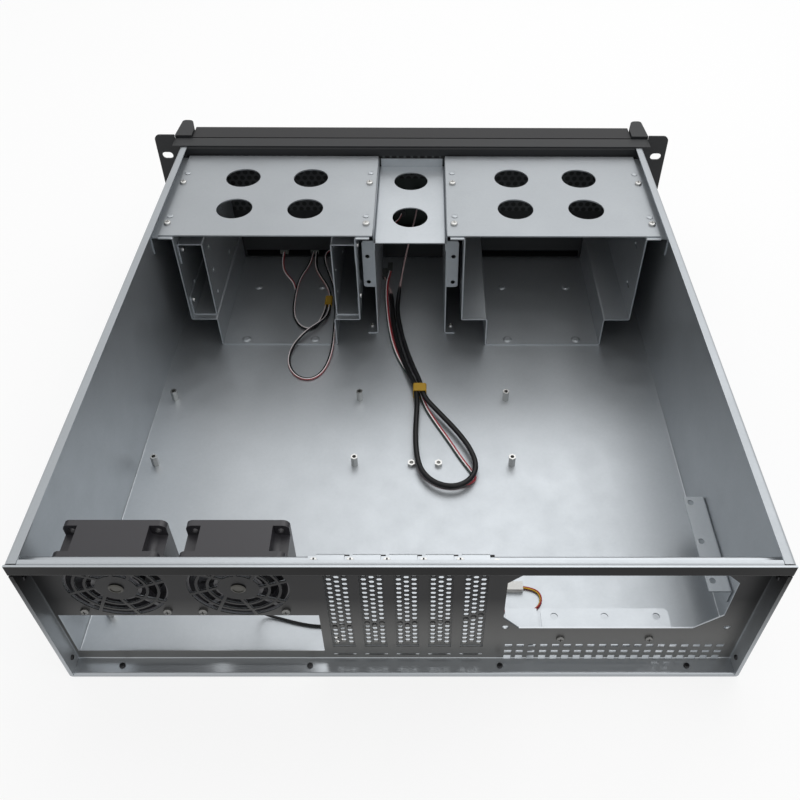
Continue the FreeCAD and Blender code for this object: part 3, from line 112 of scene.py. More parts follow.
def add_backdrop():
    """Pale floor and surroundings that show as white, while the floor keeps the case's shadow."""
    bpy.ops.mesh.primitive_plane_add(size=FLOOR_WIDTH, location=(0, 0, -FLOOR_DROP))
    floor = bpy.context.object
    floor.name = "pale_floor"
    finish = Finish("pale_floor", Roughness=0.8)
    finish.set("Base Color", FLOOR_TONE)
    glow = finish.node("ShaderNodeEmission", None, {"Color": WHITE, "Strength": 1.0})
    share = finish.seen_directly() * FLOOR_GLOW
    lit = Socket(finish, finish.shader.outputs[0])
    blend = finish.node("ShaderNodeMixShader", None, {0: share, 1: lit, 2: glow})
    finish.feed(finish.tree.nodes["Material Output"].inputs["Surface"], blend)
    floor.data.materials.append(finish.material)
    world = bpy.data.worlds.new("studio")
    bpy.context.scene.world = world
    sky = Tree(world)
    background = sky.tree.nodes["Background"]
    sky.feed(background.inputs["Color"], WHITE)
    sky.feed(background.inputs["Strength"], SKY + sky.seen_directly() * (1 - SKY))


# ---- shader building ----
class Socket:
    """An output socket that takes part in sums; each sum adds a Math node."""

    def __init__(self, tree, output):
        self.tree = tree
        self.output = output

    def math(self, operation, first, second):
        return self.tree.node("ShaderNodeMath", {"operation": operation}, {0: first, 1: second})

    def __add__(self, other):
        return self.math("ADD", self, other)

    def __radd__(self, other):
        return self.math("ADD", other, self)

    def __sub__(self, other):
        return self.math("SUBTRACT", self, other)

    def __rsub__(self, other):
        return self.math("SUBTRACT", other, self)

    def __mul__(self, other):
        return self.math("MULTIPLY", self, other)

    def __rmul__(self, other):
        return self.math("MULTIPLY", other, self)

    def __truediv__(self, other):
        return self.math("DIVIDE", self, other)

    def highest(self, other):
        return self.math("MAXIMUM", self, other)

    def lowest(self, other):
        return self.math("MINIMUM", self, other)

    def size(self):
        return self.math("ABSOLUTE", self, 0.0)

    def remainder(self, other):
        return self.math("MODULO", self, other)

    def whole(self):
        return self.math("FLOOR", self, 0.0)

    def fraction(self):
        return self.math("FRACT", self, 0.0)

    def root(self):
        return self.math("SQRT", self, 0.0)


class Tree:
    """A node tree and the few calls that build it."""

    def __init__(self, owner):
        owner.use_nodes = True
        self.tree = owner.node_tree

    def node(self, kind, settings=None, inputs=None, output=0):
        added = self.tree.nodes.new(kind)
        for name, value in (settings or {}).items():
            setattr(added, name, value)
        for name, value in (inputs or {}).items():
            self.feed(added.inputs[name], value)
        return Socket(self, added.outputs[output])

    def feed(self, socket, value):
        if isinstance(value, Socket):
            self.tree.links.new(value.output, socket)
        else:
            socket.default_value = value

    def seen_directly(self):
        """1 for rays that show the backdrop itself: to the camera, in metal and through clear parts."""
        rays = [self.node("ShaderNodeLightPath", None, None, ray)
                for ray in ("Is Camera Ray", "Is Glossy Ray", "Is Transmission Ray")]
        return rays[0].highest(rays[1]).highest(rays[2])


class Finish(Tree):
    """One material, with constants set on its shader's sockets."""

    def __init__(self, name, **constants):
        self.material = bpy.data.materials.new(name)
        super().__init__(self.material)
        self.shader = self.tree.nodes["Principled BSDF"]
        for socket, value in constants.items():
            self.shader.inputs[socket.replace("_", " ")].default_value = value

    def set(self, name, value):
        self.feed(self.shader.inputs[name], value)

    def spot(self):
        return self.node("ShaderNodeTexCoord", None, None, "Object")

    def place(self, axis):
        """Distance along one axis of the case, in metres."""
        return self.node("ShaderNodeSeparateXYZ", None, {0: self.spot()}, "XYZ".index(axis))

    def noise(self, scale, detail=2.0, roughness=0.5):
        return self.node("ShaderNodeTexNoise", None,
                         {"Vector": self.spot(), "Scale": scale, "Detail": detail, "Roughness": roughness})

    def mix(self, share, first, second):
        """Colour between first and second."""
        socket = self.node("ShaderNodeMix", {"data_type": "RGBA"}, None)
        added = socket.output.node
        self.feed(added.inputs[0], share)
        for place, value in ((6, first), (7, second)):
            self.feed(added.inputs[place], value if isinstance(value, Socket) else (*value, 1))
        return Socket(self, added.outputs[2])

    def bump(self, height, distance, strength):
        self.set("Normal", self.node("ShaderNodeBump", None,
                                     {"Height": height, "Distance": distance, "Strength": strength}))


def ramp(value, low, high):
    """0 at low and under it, 1 at high and over it."""
    return value.tree.node("ShaderNodeMapRange", None, {0: value, 1: low, 2: high, 3: 0.0, 4: 1.0})


def band(value, centre, soft):
    """1 above centre, 0 below it, over a soft edge."""
    return ramp(value, centre - soft, centre + soft)


# ---- finishes ----
BLACK = (0, 0, 0)
ZINC, ZINC_DARK = (0.460, 0.486, 0.510), (0.400, 0.425, 0.447)
ZINC_METAL = 0.86
PLATE_PAINTED_SHADE_SHARE = 0.8          # painted shade: tone of the cage plates, against other bare zinc
RIM_PAINTED_SHADE = 0.14            # painted shade: tone that the tray's upper rims lose
# painted reflection: the rear panel's tone low down and its darkest tone at the top; the third is a cloudy
# tone
PAINTED_REFLECTION_LOW, PAINTED_REFLECTION_TOP, STEEL_CLOUD = (0.20, 0.20, 0.195), (0.020, 0.020, 0.021), (0.11, 0.11, 0.11)
STEEL_METAL = 0.7
FOOT_FLANGE = (2.6 * MM, 3.0 * MM)         # heights over which the flange at the panel's foot ends
END_FLANGE = (PANEL_HALF - 3.5 * MM, PANEL_HALF - 2.7 * MM)    # the same for those at its two ends
PAINTED_REFLECTION_FADE, END_PAINTED_REFLECTION_FADE = (2.0 * MM, 74.0 * MM), (26.0 * MM, 110.0 * MM)    # heights between which the painted reflection on the face and on the end flanges deepens
LIP_LOW = 110.0 * MM       # under the lip along the panel's top
LIP_SHADE = 0.7
# the third tone is painted shade for the cross recess in the slot screws' heads
SCREW_BRIGHT, SCREW_STEEL, SCREW_CROSS_SHADE = (0.50, 0.50, 0.49), (0.40, 0.40, 0.39), (0.02, 0.02, 0.02)
SLOT_SCREWS = 6
SLOT_SCREW_HEAD = 5.8 * MM
CROSS_HALF_WIDTH, CROSS_REACH = 0.42 * MM, 1.7 * MM
COAT, COAT_SPECK = (0.010, 0.011, 0.012), (0.018, 0.019, 0.021)
# the third tone is painted shade, shown in the air holes
SCREEN_SPECK, SCREEN_TONE, SCREEN_HOLE_SHADE = (0.020, 0.021, 0.023), (0.045, 0.048, 0.050), (0.002, 0.002, 0.002)
SCREEN_LOW, SCREEN_HIGH = 58.0 * MM, 118.0 * MM                # heights of the panel's air holes
HOLE_PITCH = 6.6 * MM
HOLE_SHARE = 0.34          # radius over pitch
ROW_RISE = math.sqrt(3) / 2
TAPE_DARK, TAPE_LIGHT = (0.22, 0.125, 0.008), (0.50, 0.30, 0.02)


def zinc_colour(finish):
    """Faint cloudy tone of zinc-coated sheet."""
    cloud = finish.noise(9.0, 3.0, 0.55)
    grain = finish.noise(420.0, roughness=0.6)
    return finish.mix(ramp(cloud * 0.75 + grain * 0.25, 0.3, 0.7), ZINC_DARK, ZINC)


def zinc_sheet(name, share=1.0, rim_painted_shade=0.0):
    """Bare zinc-coated sheet; share darkens all of it and the rim argument darkens its upper rims further,
    both as painted shade.
    """
    finish = Finish(name, Metallic=ZINC_METAL)
    rim = ramp(finish.place("Z"), RIM_TOP - 0.5 * MM, RIM_TOP - 0.3 * MM)
    # painted shade: the share and the rim term darken the zinc
    finish.set("Base Color", finish.mix(share - rim * rim_painted_shade, BLACK, zinc_colour(finish)))
    finish.set("Roughness", 0.36 + finish.noise(60.0) * 0.14)
    finish.bump(finish.noise(900.0), 0.00002, 0.25)
    return finish.material


def zinc_with_painted_reflection(name, edge_y):
    """Zinc with a painted dark reflection and shade, deeper toward the top; bare zinc on rims, on the ledge
    and in front of edge_y.
    """
    finish = Finish(name, Specular_IOR_Level=0.25)
    x, y, z = (finish.place(axis) for axis in "XYZ")
    end = ramp(x.size(), *END_FLANGE)
    foot = 1 - ramp(z, *FOOT_FLANGE)
    low = finish.mix(foot.highest(end), PAINTED_REFLECTION_LOW, ZINC_DARK)
    # painted reflection: the tone darkens with height, from the low tones up to the darkest at the top
    fade = [start + end * (end_start - start) for start, end_start in zip(PAINTED_REFLECTION_FADE, END_PAINTED_REFLECTION_FADE)]
    tone = finish.mix(ramp(z, *fade), low, PAINTED_REFLECTION_TOP)
    cloudy = finish.mix(finish.noise(14.0, 3.0, 0.55) * 0.12, tone, STEEL_CLOUD)
    # painted shade on the lip along the panel's top
    lip = band(y, CASE_HIGH.y - 0.2 * MM, 0.05 * MM) * band(z, LIP_LOW, 1.0 * MM)
    toned = finish.mix(lip * LIP_SHADE, cloudy, BLACK)
    rim = band(z, RIM_TOP - 0.3 * MM, 0.04 * MM)
    ledge = band(z, LEDGE_TOP - 0.25 * MM, 0.04 * MM)
    inside = 1 - band(y, CASE_HIGH.y - 1.25 * MM, 0.02 * MM)
    front = 1 - band(y, edge_y, 0.05 * MM)
    bare = rim.highest(ledge * inside).highest(front)
    finish.set("Base Color", finish.mix(bare, toned, zinc_colour(finish)))
    finish.set("Metallic", STEEL_METAL + bare * (ZINC_METAL - STEEL_METAL))
    finish.set("Roughness", 0.42 - bare * 0.08 - foot * 0.2)
    finish.bump(finish.noise(1100.0), 0.00002, 0.3)
    return finish.material


def screw_row():
    """Bright steel with a cross of painted shade in each of the card slots' screws, standing in for the cross
    recess.
    """
    finish = Finish("slot_screw_steel", Metallic=1.0)
    low, high = CASE_BOX["slot_screws"]
    gap = (high.x - low.x - SLOT_SCREW_HEAD) / (SLOT_SCREWS - 1)
    along = ((finish.place("X") - (low.x + SLOT_SCREW_HEAD / 2)) / gap + 0.5).fraction() - 0.5
    across = (along * gap).size()
    depth = (finish.place("Y") - (low.y + high.y) / 2).size()
    far, near = across.highest(depth), across.lowest(depth)
    cross = (1 - band(near, CROSS_HALF_WIDTH, 0.08 * MM)) * (1 - band(far, CROSS_REACH, 0.08 * MM))
    share = cross * band(finish.place("Z"), high.z - 0.12 * MM, 0.04 * MM)
    steel = finish.mix(finish.noise(900.0), SCREW_STEEL, SCREW_BRIGHT)
    # painted shade: the cross recess is drawn as a dark cross on the heads' tops
    finish.set("Base Color", finish.mix(share, steel, SCREW_CROSS_SHADE))
    finish.set("Roughness", 0.24 + share * 0.4)
    return finish.material


def black_coat(name, tone=None):
    """Black paint with a fine grain; tone works out its colour from the finish and its grain."""
    finish = Finish(name, Specular_IOR_Level=0.32)
    speck = finish.noise(1500.0)
    finish.set("Base Color", tone(finish, speck) if tone else finish.mix(speck, COAT, COAT_SPECK))
    finish.set("Roughness", 0.44 + speck * 0.1)
    finish.bump(speck, 0.00004, 0.35)
    return finish.material


def air_holes(finish, speck):
    """Black with staggered rows of round air holes across part of the inner front panel; the holes are
    painted shade, dark dots on the sheet.
    """
    z = finish.place("Z")
    up = z / (HOLE_PITCH * ROW_RISE)
    stagger = up.whole().remainder(2.0) * 0.5
    sideways = (finish.place("X") / HOLE_PITCH + stagger).fraction() - 0.5
    upward = (up.fraction() - 0.5) * ROW_RISE
    hole = 1 - band((sideways * sideways + upward * upward).root(), HOLE_SHARE, 0.03)
    screen = band(z, SCREEN_LOW, 0.1 * MM) * (1 - band(z, SCREEN_HIGH, 0.1 * MM))
    coat = finish.mix(screen, finish.mix(speck, COAT, SCREEN_SPECK), SCREEN_TONE)
    # painted shade: dark dots in place of the open air holes
    return finish.mix(hole * screen, coat, SCREEN_HOLE_SHADE)


def plain(name, colour, roughness, metallic=0.0, grain=1200.0, **constants):
    """Even colour with a fine grain in tone and surface."""
    finish = Finish(name, Metallic=metallic, **constants)
    speck = finish.noise(grain)
    finish.set("Base Color", finish.mix(speck, colour, [min(1, part * 1.25) for part in colour]))
    finish.set("Roughness", roughness + speck * 0.08)
    finish.bump(speck, 0.00003, 0.3)
    return finish.material


def tape():
    """Woven tape whose threads vary in tone, with painted shade between them."""
    finish = Finish("woven_tape")
    threads = finish.noise(2600.0, roughness=0.6)
    # painted shade: the dark tone falls in the hollows between threads, where the bump dips
    finish.set("Base Color", finish.mix(threads, TAPE_DARK, TAPE_LIGHT))
    finish.set("Roughness", 0.75)
    finish.bump(threads, 0.0002, 0.6)
    return finish.material


def dress(material, *nodes):
    """Gives carried-over pieces their finish."""
    for node in nodes:
        mesh = NODES[node].data
        mesh.materials.clear()
        mesh.materials.append(material)


def sides(name):
    return [f"{name}_right", f"{name}_left"]


def dress_case():
    # the tray's upper rims get painted shade
    dress(zinc_sheet("tray_zinc_sheet", rim_painted_shade=RIM_PAINTED_SHADE), "chassis_tray")
    dress(zinc_sheet("zinc_sheet"), "bridge_plate", "rear_rail", "psu_support_bracket", "psu_side_bracket",
          "adapter_channel_outer", "adapter_channel_inner", *sides("partition"), *sides("drive_cage"),
          *sides("wall_bracket"))
    # the cage plates get the same zinc with painted shade
    dress(zinc_sheet("plate_zinc_sheet", PLATE_PAINTED_SHADE_SHARE), *sides("cage_top_plate"))
    # the rear panel and the slot covers carry painted reflection and shade
    dress(zinc_with_painted_reflection("zinc_with_painted_reflection", PANEL_OUT - 0.4 * MM), "rear_panel")
    dress(zinc_with_painted_reflection("cover_steel", CASE_LOW.y), *[f"slot_cover_{i}" for i in range(1, 6)])
    dress(black_coat("black_coat"), "front_frame", *sides("rack_ear"), *sides("handle"))
    dress(black_coat("perforated_black_coat", air_holes), "front_panel")
    dress(plain("grained_black_plastic", (0.014, 0.014, 0.015), 0.52, Specular_IOR_Level=0.3), "front_bezel",
          "power_button", "reset_button",
          *[f"{cover}_{level}" for cover in sides("bay_cover") for level in ("lower", "upper")])
    dress(plain("fan_frame_plastic", (0.026, 0.025, 0.029), 0.36), "rear_fan_outer_frame",
          "rear_fan_inner_frame")
    dress(plain("fan_rotor_plastic", (0.010, 0.010, 0.012), 0.36), "rear_fan_outer_rotor",
          "rear_fan_inner_rotor")
    dress(plain("bright_steel", SCREW_STEEL, 0.2, 1.0), "board_standoffs", "floor_nuts", "front_ports")
    dress(screw_row(), "slot_screws")
    dress(plain("dark_board", (0.006, 0.014, 0.010), 0.4), "control_board")
    dress(plain("switch_plastic", (0.02, 0.02, 0.022), 0.4), "power_switch", "reset_switch", "board_sockets",
          "control_board_spacers")
    dress(plain("clear_lens", (0.7, 0.74, 0.7), 0.12), "indicator_lights")
    dress(plain("plug_plastic", (0.045, 0.048, 0.046), 0.42), "harness_plugs")
    dress(plain("grey_plug_plastic", (0.13, 0.14, 0.13), 0.42), "cage_plugs")
    dress(plain("pale_plug_plastic", (0.66, 0.66, 0.64), 0.42), "fan_plug")
    dress(tape(), "harness_tie", "cage_tie")


# ---- wiring ----
# Routes are control points in millimetres, from each cord's exit to its far end.
HARNESS_ROUTE = [
    (-6.0, -218.75, 66.0), (-5.5, -204.0, 65.0), (-2.5, -188.5, 57.0), (2.5, -175.5, 43.0),
    (7.0, -163.0, 28.0), (10.5, -148.5, 15.5), (13.0, -130.0, 9.0), (13.8, -112.0, 7.4),
    (11.5, -91.2, 7.3), (6.3, -63.3, 7.5), (-1.4, -34.3, 7.9), (-8.2, -14.0, 8.4), (-11.6, 4.5, 8.3),
    (-20.3, 17.0, 7.7), (-29.3, 29.3, 7.3), (-37.6, 41.5, 7.4), (-44.8, 53.5, 7.3), (-50.0, 65.2, 7.3),
    (-52.6, 75.5, 7.2), (-52.2, 84.5, 7.3), (-48.5, 92.2, 7.3), (-42.6, 97.6, 7.2), (-35.0, 100.2, 7.3),
    (-27.0, 99.4, 7.3), (-19.2, 95.6, 7.2), (-12.6, 88.8, 7.3), (-8.2, 79.5, 7.3), (-5.8, 65.5, 7.4),
    (-5.0, 48.0, 7.3), (-5.4, 31.5, 7.5), (-6.1, 15.5, 8.0), (-5.7, 2.0, 8.4), (-3.8, -11.0, 8.0),
    (0.4, -23.0, 6.8), (4.6, -36.0, 5.6), (8.4, -51.0, 4.6), (12.8, -70.0, 3.8), (16.4, -90.5, 3.5),
    (18.4, -115.0, 3.5), (19.8, -138.0, 3.4), (24.0, -153.5, 3.4), (27.6, -166.0, 3.5)]
LEAD_ROUTE = [
    (22.6, -177.0, 3.0), (23.4, -167.5, 4.6), (24.6, -156.0, 7.1), (25.2, -144.0, 5.4), (24.4, -128.0, 3.1),
    (22.6, -108.0, 2.9), (20.2, -89.0, 3.0), (17.2, -71.5, 2.9), (13.2, -55.5, 3.0), (7.4, -40.0, 3.1),
    (-0.2, -23.5, 3.3), (-7.4, -10.5, 3.7), (-11.0, 4.5, 3.6), (-15.6, 17.5, 3.2), (-24.0, 34.0, 2.9),
    (-33.0, 51.0, 3.0), (-41.0, 67.5, 2.9), (-48.2, 80.0, 3.0), (-52.4, 87.6, 2.9), (-49.0, 92.6, 3.0),
    (-42.4, 94.6, 2.9), (-35.0, 96.8, 3.0), (-27.0, 96.0, 2.9), (-19.8, 92.4, 3.0), (-13.2, 86.0, 2.9),
    (-8.8, 77.0, 3.0), (-6.3, 64.0, 2.9), (-5.3, 47.5, 3.0), (-5.6, 31.5, 2.9), (-6.2, 15.5, 3.3),
    (-6.3, -1.5, 3.9)]
CAGE_ROUTE = [
    (12.0, -218.75, 44.0), (13.6, -211.8, 41.5), (24.0, -210.8, 34.0), (40.0, -211.0, 23.0),
    (60.0, -211.6, 13.5), (78.0, -211.0, 8.5), (89.0, -206.0, 6.9), (90.5, -195.0, 5.5),
    (87.0, -182.0, 4.0), (82.0, -167.0, 3.6), (77.0, -150.0, 3.6), (73.8, -130.0, 3.7),
    (72.4, -109.0, 3.6), (72.0, -88.0, 3.7), (71.6, -71.0, 4.2), (72.0, -57.0, 3.6), (74.5, -41.0, 2.6),
    (79.5, -28.0, 2.7), (87.5, -21.8, 2.6), (96.5, -23.2, 2.7), (104.0, -30.5, 2.6), (108.6, -41.0, 2.7),
    (109.6, -53.0, 2.8), (107.2, -64.5, 3.8), (101.6, -74.0, 5.7), (95.0, -82.0, 7.8), (87.6, -89.8, 7.7),
    (81.4, -99.5, 5.8), (78.6, -112.0, 4.3), (78.6, -127.0, 4.2), (79.8, -140.5, 4.0),
    (84.6, -153.5, 4.6), (91.0, -166.0, 3.9), (96.8, -179.5, 3.9), (98.8, -193.0, 4.8),
    (99.0, -206.5, 5.2)]
CAGE_LOOP_ROUTE = [
    (103.2, -206.5, 5.2), (103.6, -194.0, 4.6), (106.4, -181.5, 3.8), (110.6, -169.5, 3.7),
    (113.0, -155.5, 3.6), (113.6, -137.5, 3.7), (113.2, -119.5, 3.6), (111.0, -105.0, 3.7),
    (106.0, -94.0, 3.6), (98.8, -87.4, 3.7), (91.6, -88.0, 3.6), (87.0, -95.5, 3.7), (84.2, -105.5, 3.8),
    (82.2, -116.0, 4.2), (81.8, -128.0, 4.2)]
BRANCH_ROUTE = [
    (114.4, -147.0, 3.5), (116.6, -156.0, 3.4), (121.0, -163.5, 3.5), (126.5, -171.5, 3.4),
    (130.6, -181.5, 3.6), (132.4, -193.5, 4.6), (132.6, -206.5, 5.0)]
FAN_ROUTE = [
    (101.0, 213.5, 55.8), (101.2, 213.2, 45.0), (100.8, 211.6, 33.0), (100.9, 209.4, 21.0),
    (99.6, 207.4, 10.5), (94.0, 207.4, 3.4), (84.0, 209.8, 2.4), (71.5, 213.2, 2.3), (57.5, 215.4, 2.4),
    (41.0, 214.0, 2.3), (24.0, 211.8, 2.4), (6.0, 213.0, 2.3), (-12.0, 210.6, 2.4), (-30.0, 211.6, 2.3),
    (-46.0, 207.4, 2.4), (-59.0, 203.6, 2.3), (-71.0, 203.4, 2.4), (-82.0, 205.0, 2.3),
    (-90.6, 201.4, 2.4), (-94.0, 193.4, 2.3), (-89.6, 186.6, 2.4), (-81.0, 185.4, 2.3)]


HARNESS_BARE = (0, 1, 2, 3, 4, 5, 40, 41)  # points of the harness where only a lead goes on, without sleeve
BARE_SHARE = 0.36                          # of the sleeve's radius there
HARNESS_BARE_Y = -139.0 * MM
FAN_BARE_X = -62.0 * MM                    # beyond it, the leads of the fan's cable show
RED, DEEP_RED, YELLOW, ROSE = (0.34, 0.035, 0.045), (0.42, 0.04, 0.05), (0.60, 0.38, 0.02), (0.42, 0.30, 0.30)
SLEEVE, SLEEVE_SPECK = (0.005, 0.005, 0.006), (0.009, 0.009, 0.010)


def route_curve(name, route, radius=0.0, sides=2):
    """Smooth curve with the route's points as its control points."""
    data = bpy.data.curves.new(name, "CURVE")
    data.dimensions = "3D"
    spline = data.splines.new("NURBS")
    spline.points.add(len(route) - 1)
    for point, (x, y, z) in zip(spline.points, route):
        point.co = (x * MM, y * MM, z * MM, 1)
    spline.order_u = 3
    spline.use_endpoint_u = True
    spline.resolution_u = 6
    data.bevel_depth = radius
    data.bevel_resolution = sides
    data.use_fill_caps = True
    piece = bpy.data.objects.new(name, data)
    bpy.context.scene.collection.objects.link(piece)
    return piece


def centreline(route):
    """Points along the smooth curve of a route."""
    guide = route_curve("guide", route)
    mesh = bpy.data.meshes.new_from_object(guide)
    points = [vertex.co.copy() for vertex in mesh.vertices]
    bpy.data.meshes.remove(mesh)
    bpy.data.objects.remove(guide)
    return points


def line_length(points):
    return sum((b - a).length for a, b in zip(points, points[1:]))


def lay_cord(name, node, route, diameter, finish, thin=()):
    """A round cable; at the points in thin, the sleeve has ended and only a lead goes on."""
    piece = route_curve(name, route, diameter * MM / 2, 3)
    for index in thin:
        piece.data.splines[0].points[index].radius = BARE_SHARE
    piece.data.materials.append(finish)
    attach(piece, "case")
    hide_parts(node)
    line_length(centreline(route))


def beside(line, i, sideways, up):
    """A point at a distance to the side of and above point i of a line, both in millimetres."""
    ahead = (line[min(i + 1, len(line) - 1)] - line[max(i - 1, 0)]).normalized()
    across = Vector((0, 0, 1)).cross(ahead).normalized()
    return line[i] + (across * sideways + ahead.cross(across) * up) * MM


def lead_points(line, sideways, up, twist):
    """Points of a lead beside a line, going round it twist times."""
    points = []
    for i in range(len(line)):
        turn = 2 * math.pi * twist * i / (len(line) - 1)
        out = sideways * math.cos(turn) - up * math.sin(turn)
        rise = sideways * math.sin(turn) + up * math.cos(turn)
        points.append(beside(line, i, out, rise))
    return points


def lead_curve(name, points, radius, finish):
    """A thin round lead through points."""
    data = bpy.data.curves.new(name, "CURVE")
    data.dimensions = "3D"
    spline = data.splines.new("POLY")
    spline.points.add(len(points) - 1)
    for target, point in zip(spline.points, points):
        target.co = (*point, 1)
    data.bevel_depth = radius * MM
    data.bevel_resolution = 2
    data.use_fill_caps = True
    data.materials.append(finish)
    lead = bpy.data.objects.new(name, data)
    bpy.context.scene.collection.objects.link(lead)
    return lead


def lay_leads(name, node, route, strands, twist=0.0):
    """Thin leads along one route; each strand is its finish, its place to the side and up, and its radius."""
    line = centreline(route)
    leads = [lead_curve(f"{name}_{index}", lead_points(line, sideways, up, twist), radius, finish)
             for index, (finish, sideways, up, radius) in enumerate(strands)]
    clear_selection()
    for lead in leads:
        lead.select_set(True)
    bpy.context.view_layer.objects.active = leads[0]
    bpy.ops.object.convert(target="MESH")
    bpy.ops.object.join()
    piece = bpy.context.object
    piece.name = name
    bpy.ops.object.shade_smooth()
    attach(piece, "case")
    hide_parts(node)


def bared_lead(name, axis, edge, colour):
    """Black sleeve that ends where an axis falls below edge, and shows a lead's colour beyond."""
    finish = Finish(name, Roughness=0.34, Specular_IOR_Level=0.25)
    speck = finish.noise(900.0)
    bare = 1 - band(finish.place(axis), edge, 1.0 * MM)
    finish.set("Base Color", finish.mix(bare, finish.mix(speck, SLEEVE, SLEEVE_SPECK), colour))
    finish.bump(speck, 0.00003, 0.3)
    return finish.material


def add_wiring():
    sleeve = plain("cable_sleeve", (0.006, 0.006, 0.007), 0.32, grain=900.0, Specular_IOR_Level=0.3)
    white = plain("white_lead", (0.78, 0.72, 0.72), 0.34)
    red = plain("red_lead", RED, 0.34)
    green = plain("green_lead", (0.006, 0.034, 0.024), 0.32)
    lay_cord("harness_sleeve", "harness_cable", HARNESS_ROUTE, 4.4,
             bared_lead("harness_sleeve", "Y", HARNESS_BARE_Y, ROSE),
             thin=HARNESS_BARE)
    ribbon = [(green, -1.15, -0.3, 0.5), (white, -0.4, 0.5, 0.55),
              (red, 0.45, 0.3, 0.6), (red, 1.1, -0.2, 0.58)]
    lay_leads("harness_wires", "harness_leads", LEAD_ROUTE, ribbon)
    trio = [(sleeve, -0.4, 0.0, 0.88), (white, 0.62, 0.6, 0.4), (red, 0.78, -0.4, 0.42)]
    lay_leads("cage_wires", "cage_leads", CAGE_ROUTE, trio)
    lay_leads("cage_loop_wires", "cage_lead_loop", CAGE_LOOP_ROUTE, trio)
    lay_leads("cage_branch_wires", "cage_lead_branch", BRANCH_ROUTE,
              [(white, 0.55, 0.1, 0.55), (red, -0.5, 0.0, 0.6)])
    fan_leads = [(bared_lead("fan_dark_red_lead", "X", FAN_BARE_X, RED), -0.2, 0.3, 0.68),
                 (bared_lead("fan_red_lead", "X", FAN_BARE_X, DEEP_RED), 0.5, -0.3, 0.46),
                 (bared_lead("fan_yellow_lead", "X", FAN_BARE_X, YELLOW), -0.4, -0.45, 0.46)]
    lay_leads("fan_wires", "fan_cable", FAN_ROUTE, fan_leads, twist=1.5)


# ---- small fittings ----
UP, REARWARD = (0, 0, 1), (0, 1, 0)
HEAD_RISE = 0.34           # proportions of a pan head 1 across
HEAD_ROUND = 0.17
CROSS_LENGTH, CROSS_WIDTH, CROSS_DEPTH = 0.62, 0.12, 0.15
DISC_RISE = 0.12           # proportions of a pressed disc 1 across
DISC_ROUND = 0.05
DISH_BORDER, DISH_SLOPE, DISH_DEPTH = 0.07, 0.04, 0.03
# Places in millimetres; those on both sides of the case are given for its right side.
PLATE_SCREW_X, PLATE_SCREW_Y = (36.8, 202.6), (-152.5, -88.5)
FOOT_SCREW = (36.5, -94.5, 2.2)
RIM_SCREW_X, RIM_SCREW_Y, RIM_SCREW_Z = 212.6, 242.6, (12.6, 105.5)
CHANNEL_SCREWS = ((193.2, -83.5, 96.7), (193.2, -80.5, 44.6), (44.8, -80.0, 104.0), (44.8, -80.0, 50.0))
FLANGE_SCREW_X, FLANGE_SCREW_Y, FLANGE_TOP = (182.6, 61.4, -61.4, -182.6), 243.2, 2.4
SHELF_SCREW_X, SHELF_SCREW_Z = (-98.5, -154.6), 27.8
FAN_SCREWS = ((-25, -25), (25, -25), (-25, 25), (25, 25))     # from the fan's middle, across and up
PLATE_BOSSES = ((36.8, -170.0), (37.6, -100.4), (202.0, -168.8), (202.8, -99.4))
BOSS_ACROSS, GRILLE_DISC_ACROSS = 4.4, 7.4


def choose(piece, wanted):
    """Opens edit mode with only the wanted faces selected."""
    mesh = piece.data
    for group in (mesh.vertices, mesh.edges):
        for part in group:
            part.select = False
    for face in mesh.polygons:
        face.select = wanted(face)
    bpy.ops.object.mode_set(mode="EDIT")
    bpy.ops.mesh.select_mode(type="FACE")


def is_top(face):
    return face.normal.z > 0.9


def round_blank(rise, corners):
    """Short cylinder, 1 across and standing on z = 0."""
    clear_selection()
    bpy.ops.mesh.primitive_cylinder_add(vertices=corners, radius=0.5, depth=rise, location=(0, 0, rise / 2))
    bpy.ops.object.transform_apply()
    return bpy.context.object


def smooth_sides(piece, angle):
    clear_selection()
    piece.select_set(True)
    bpy.ops.object.shade_smooth_by_angle(angle=math.radians(angle))


def pan_head():
    """Head of a pan head screw with its cross recess, 1 across and standing on z = 0."""
    head = round_blank(HEAD_RISE, 24)
    choose(head, is_top)
    bpy.ops.mesh.bevel(offset=HEAD_ROUND, segments=3, profile=0.5, affect="EDGES")
    bpy.ops.object.mode_set(mode="OBJECT")
    for turn in (0, math.pi / 2):
        clear_selection()
        bpy.ops.mesh.primitive_cube_add(size=1, location=(0, 0, HEAD_RISE), rotation=(0, 0, turn),
                                        scale=(CROSS_LENGTH, CROSS_WIDTH, 2 * CROSS_DEPTH))
        cutter = bpy.context.object
        carve = head.modifiers.new("cross", "BOOLEAN")
        carve.operation = "DIFFERENCE"
        carve.object = cutter
        bpy.context.view_layer.objects.active = head
        bpy.ops.object.modifier_apply(modifier="cross")
        bpy.data.objects.remove(cutter)
    smooth_sides(head, 40)
    return head


def pressed_disc():
    """Low round boss with a shallow dish in its top, 1 across and standing on z = 0."""
    disc = round_blank(DISC_RISE, 32)
    choose(disc, is_top)
    bpy.ops.mesh.bevel(offset=DISC_ROUND, segments=2, affect="EDGES")
    bpy.ops.object.mode_set(mode="OBJECT")
    choose(disc, is_top)
    bpy.ops.mesh.inset(thickness=DISH_BORDER, depth=0)
    bpy.ops.mesh.inset(thickness=DISH_SLOPE, depth=-DISH_DEPTH)
    bpy.ops.object.mode_set(mode="OBJECT")
    smooth_sides(disc, 30)
    return disc


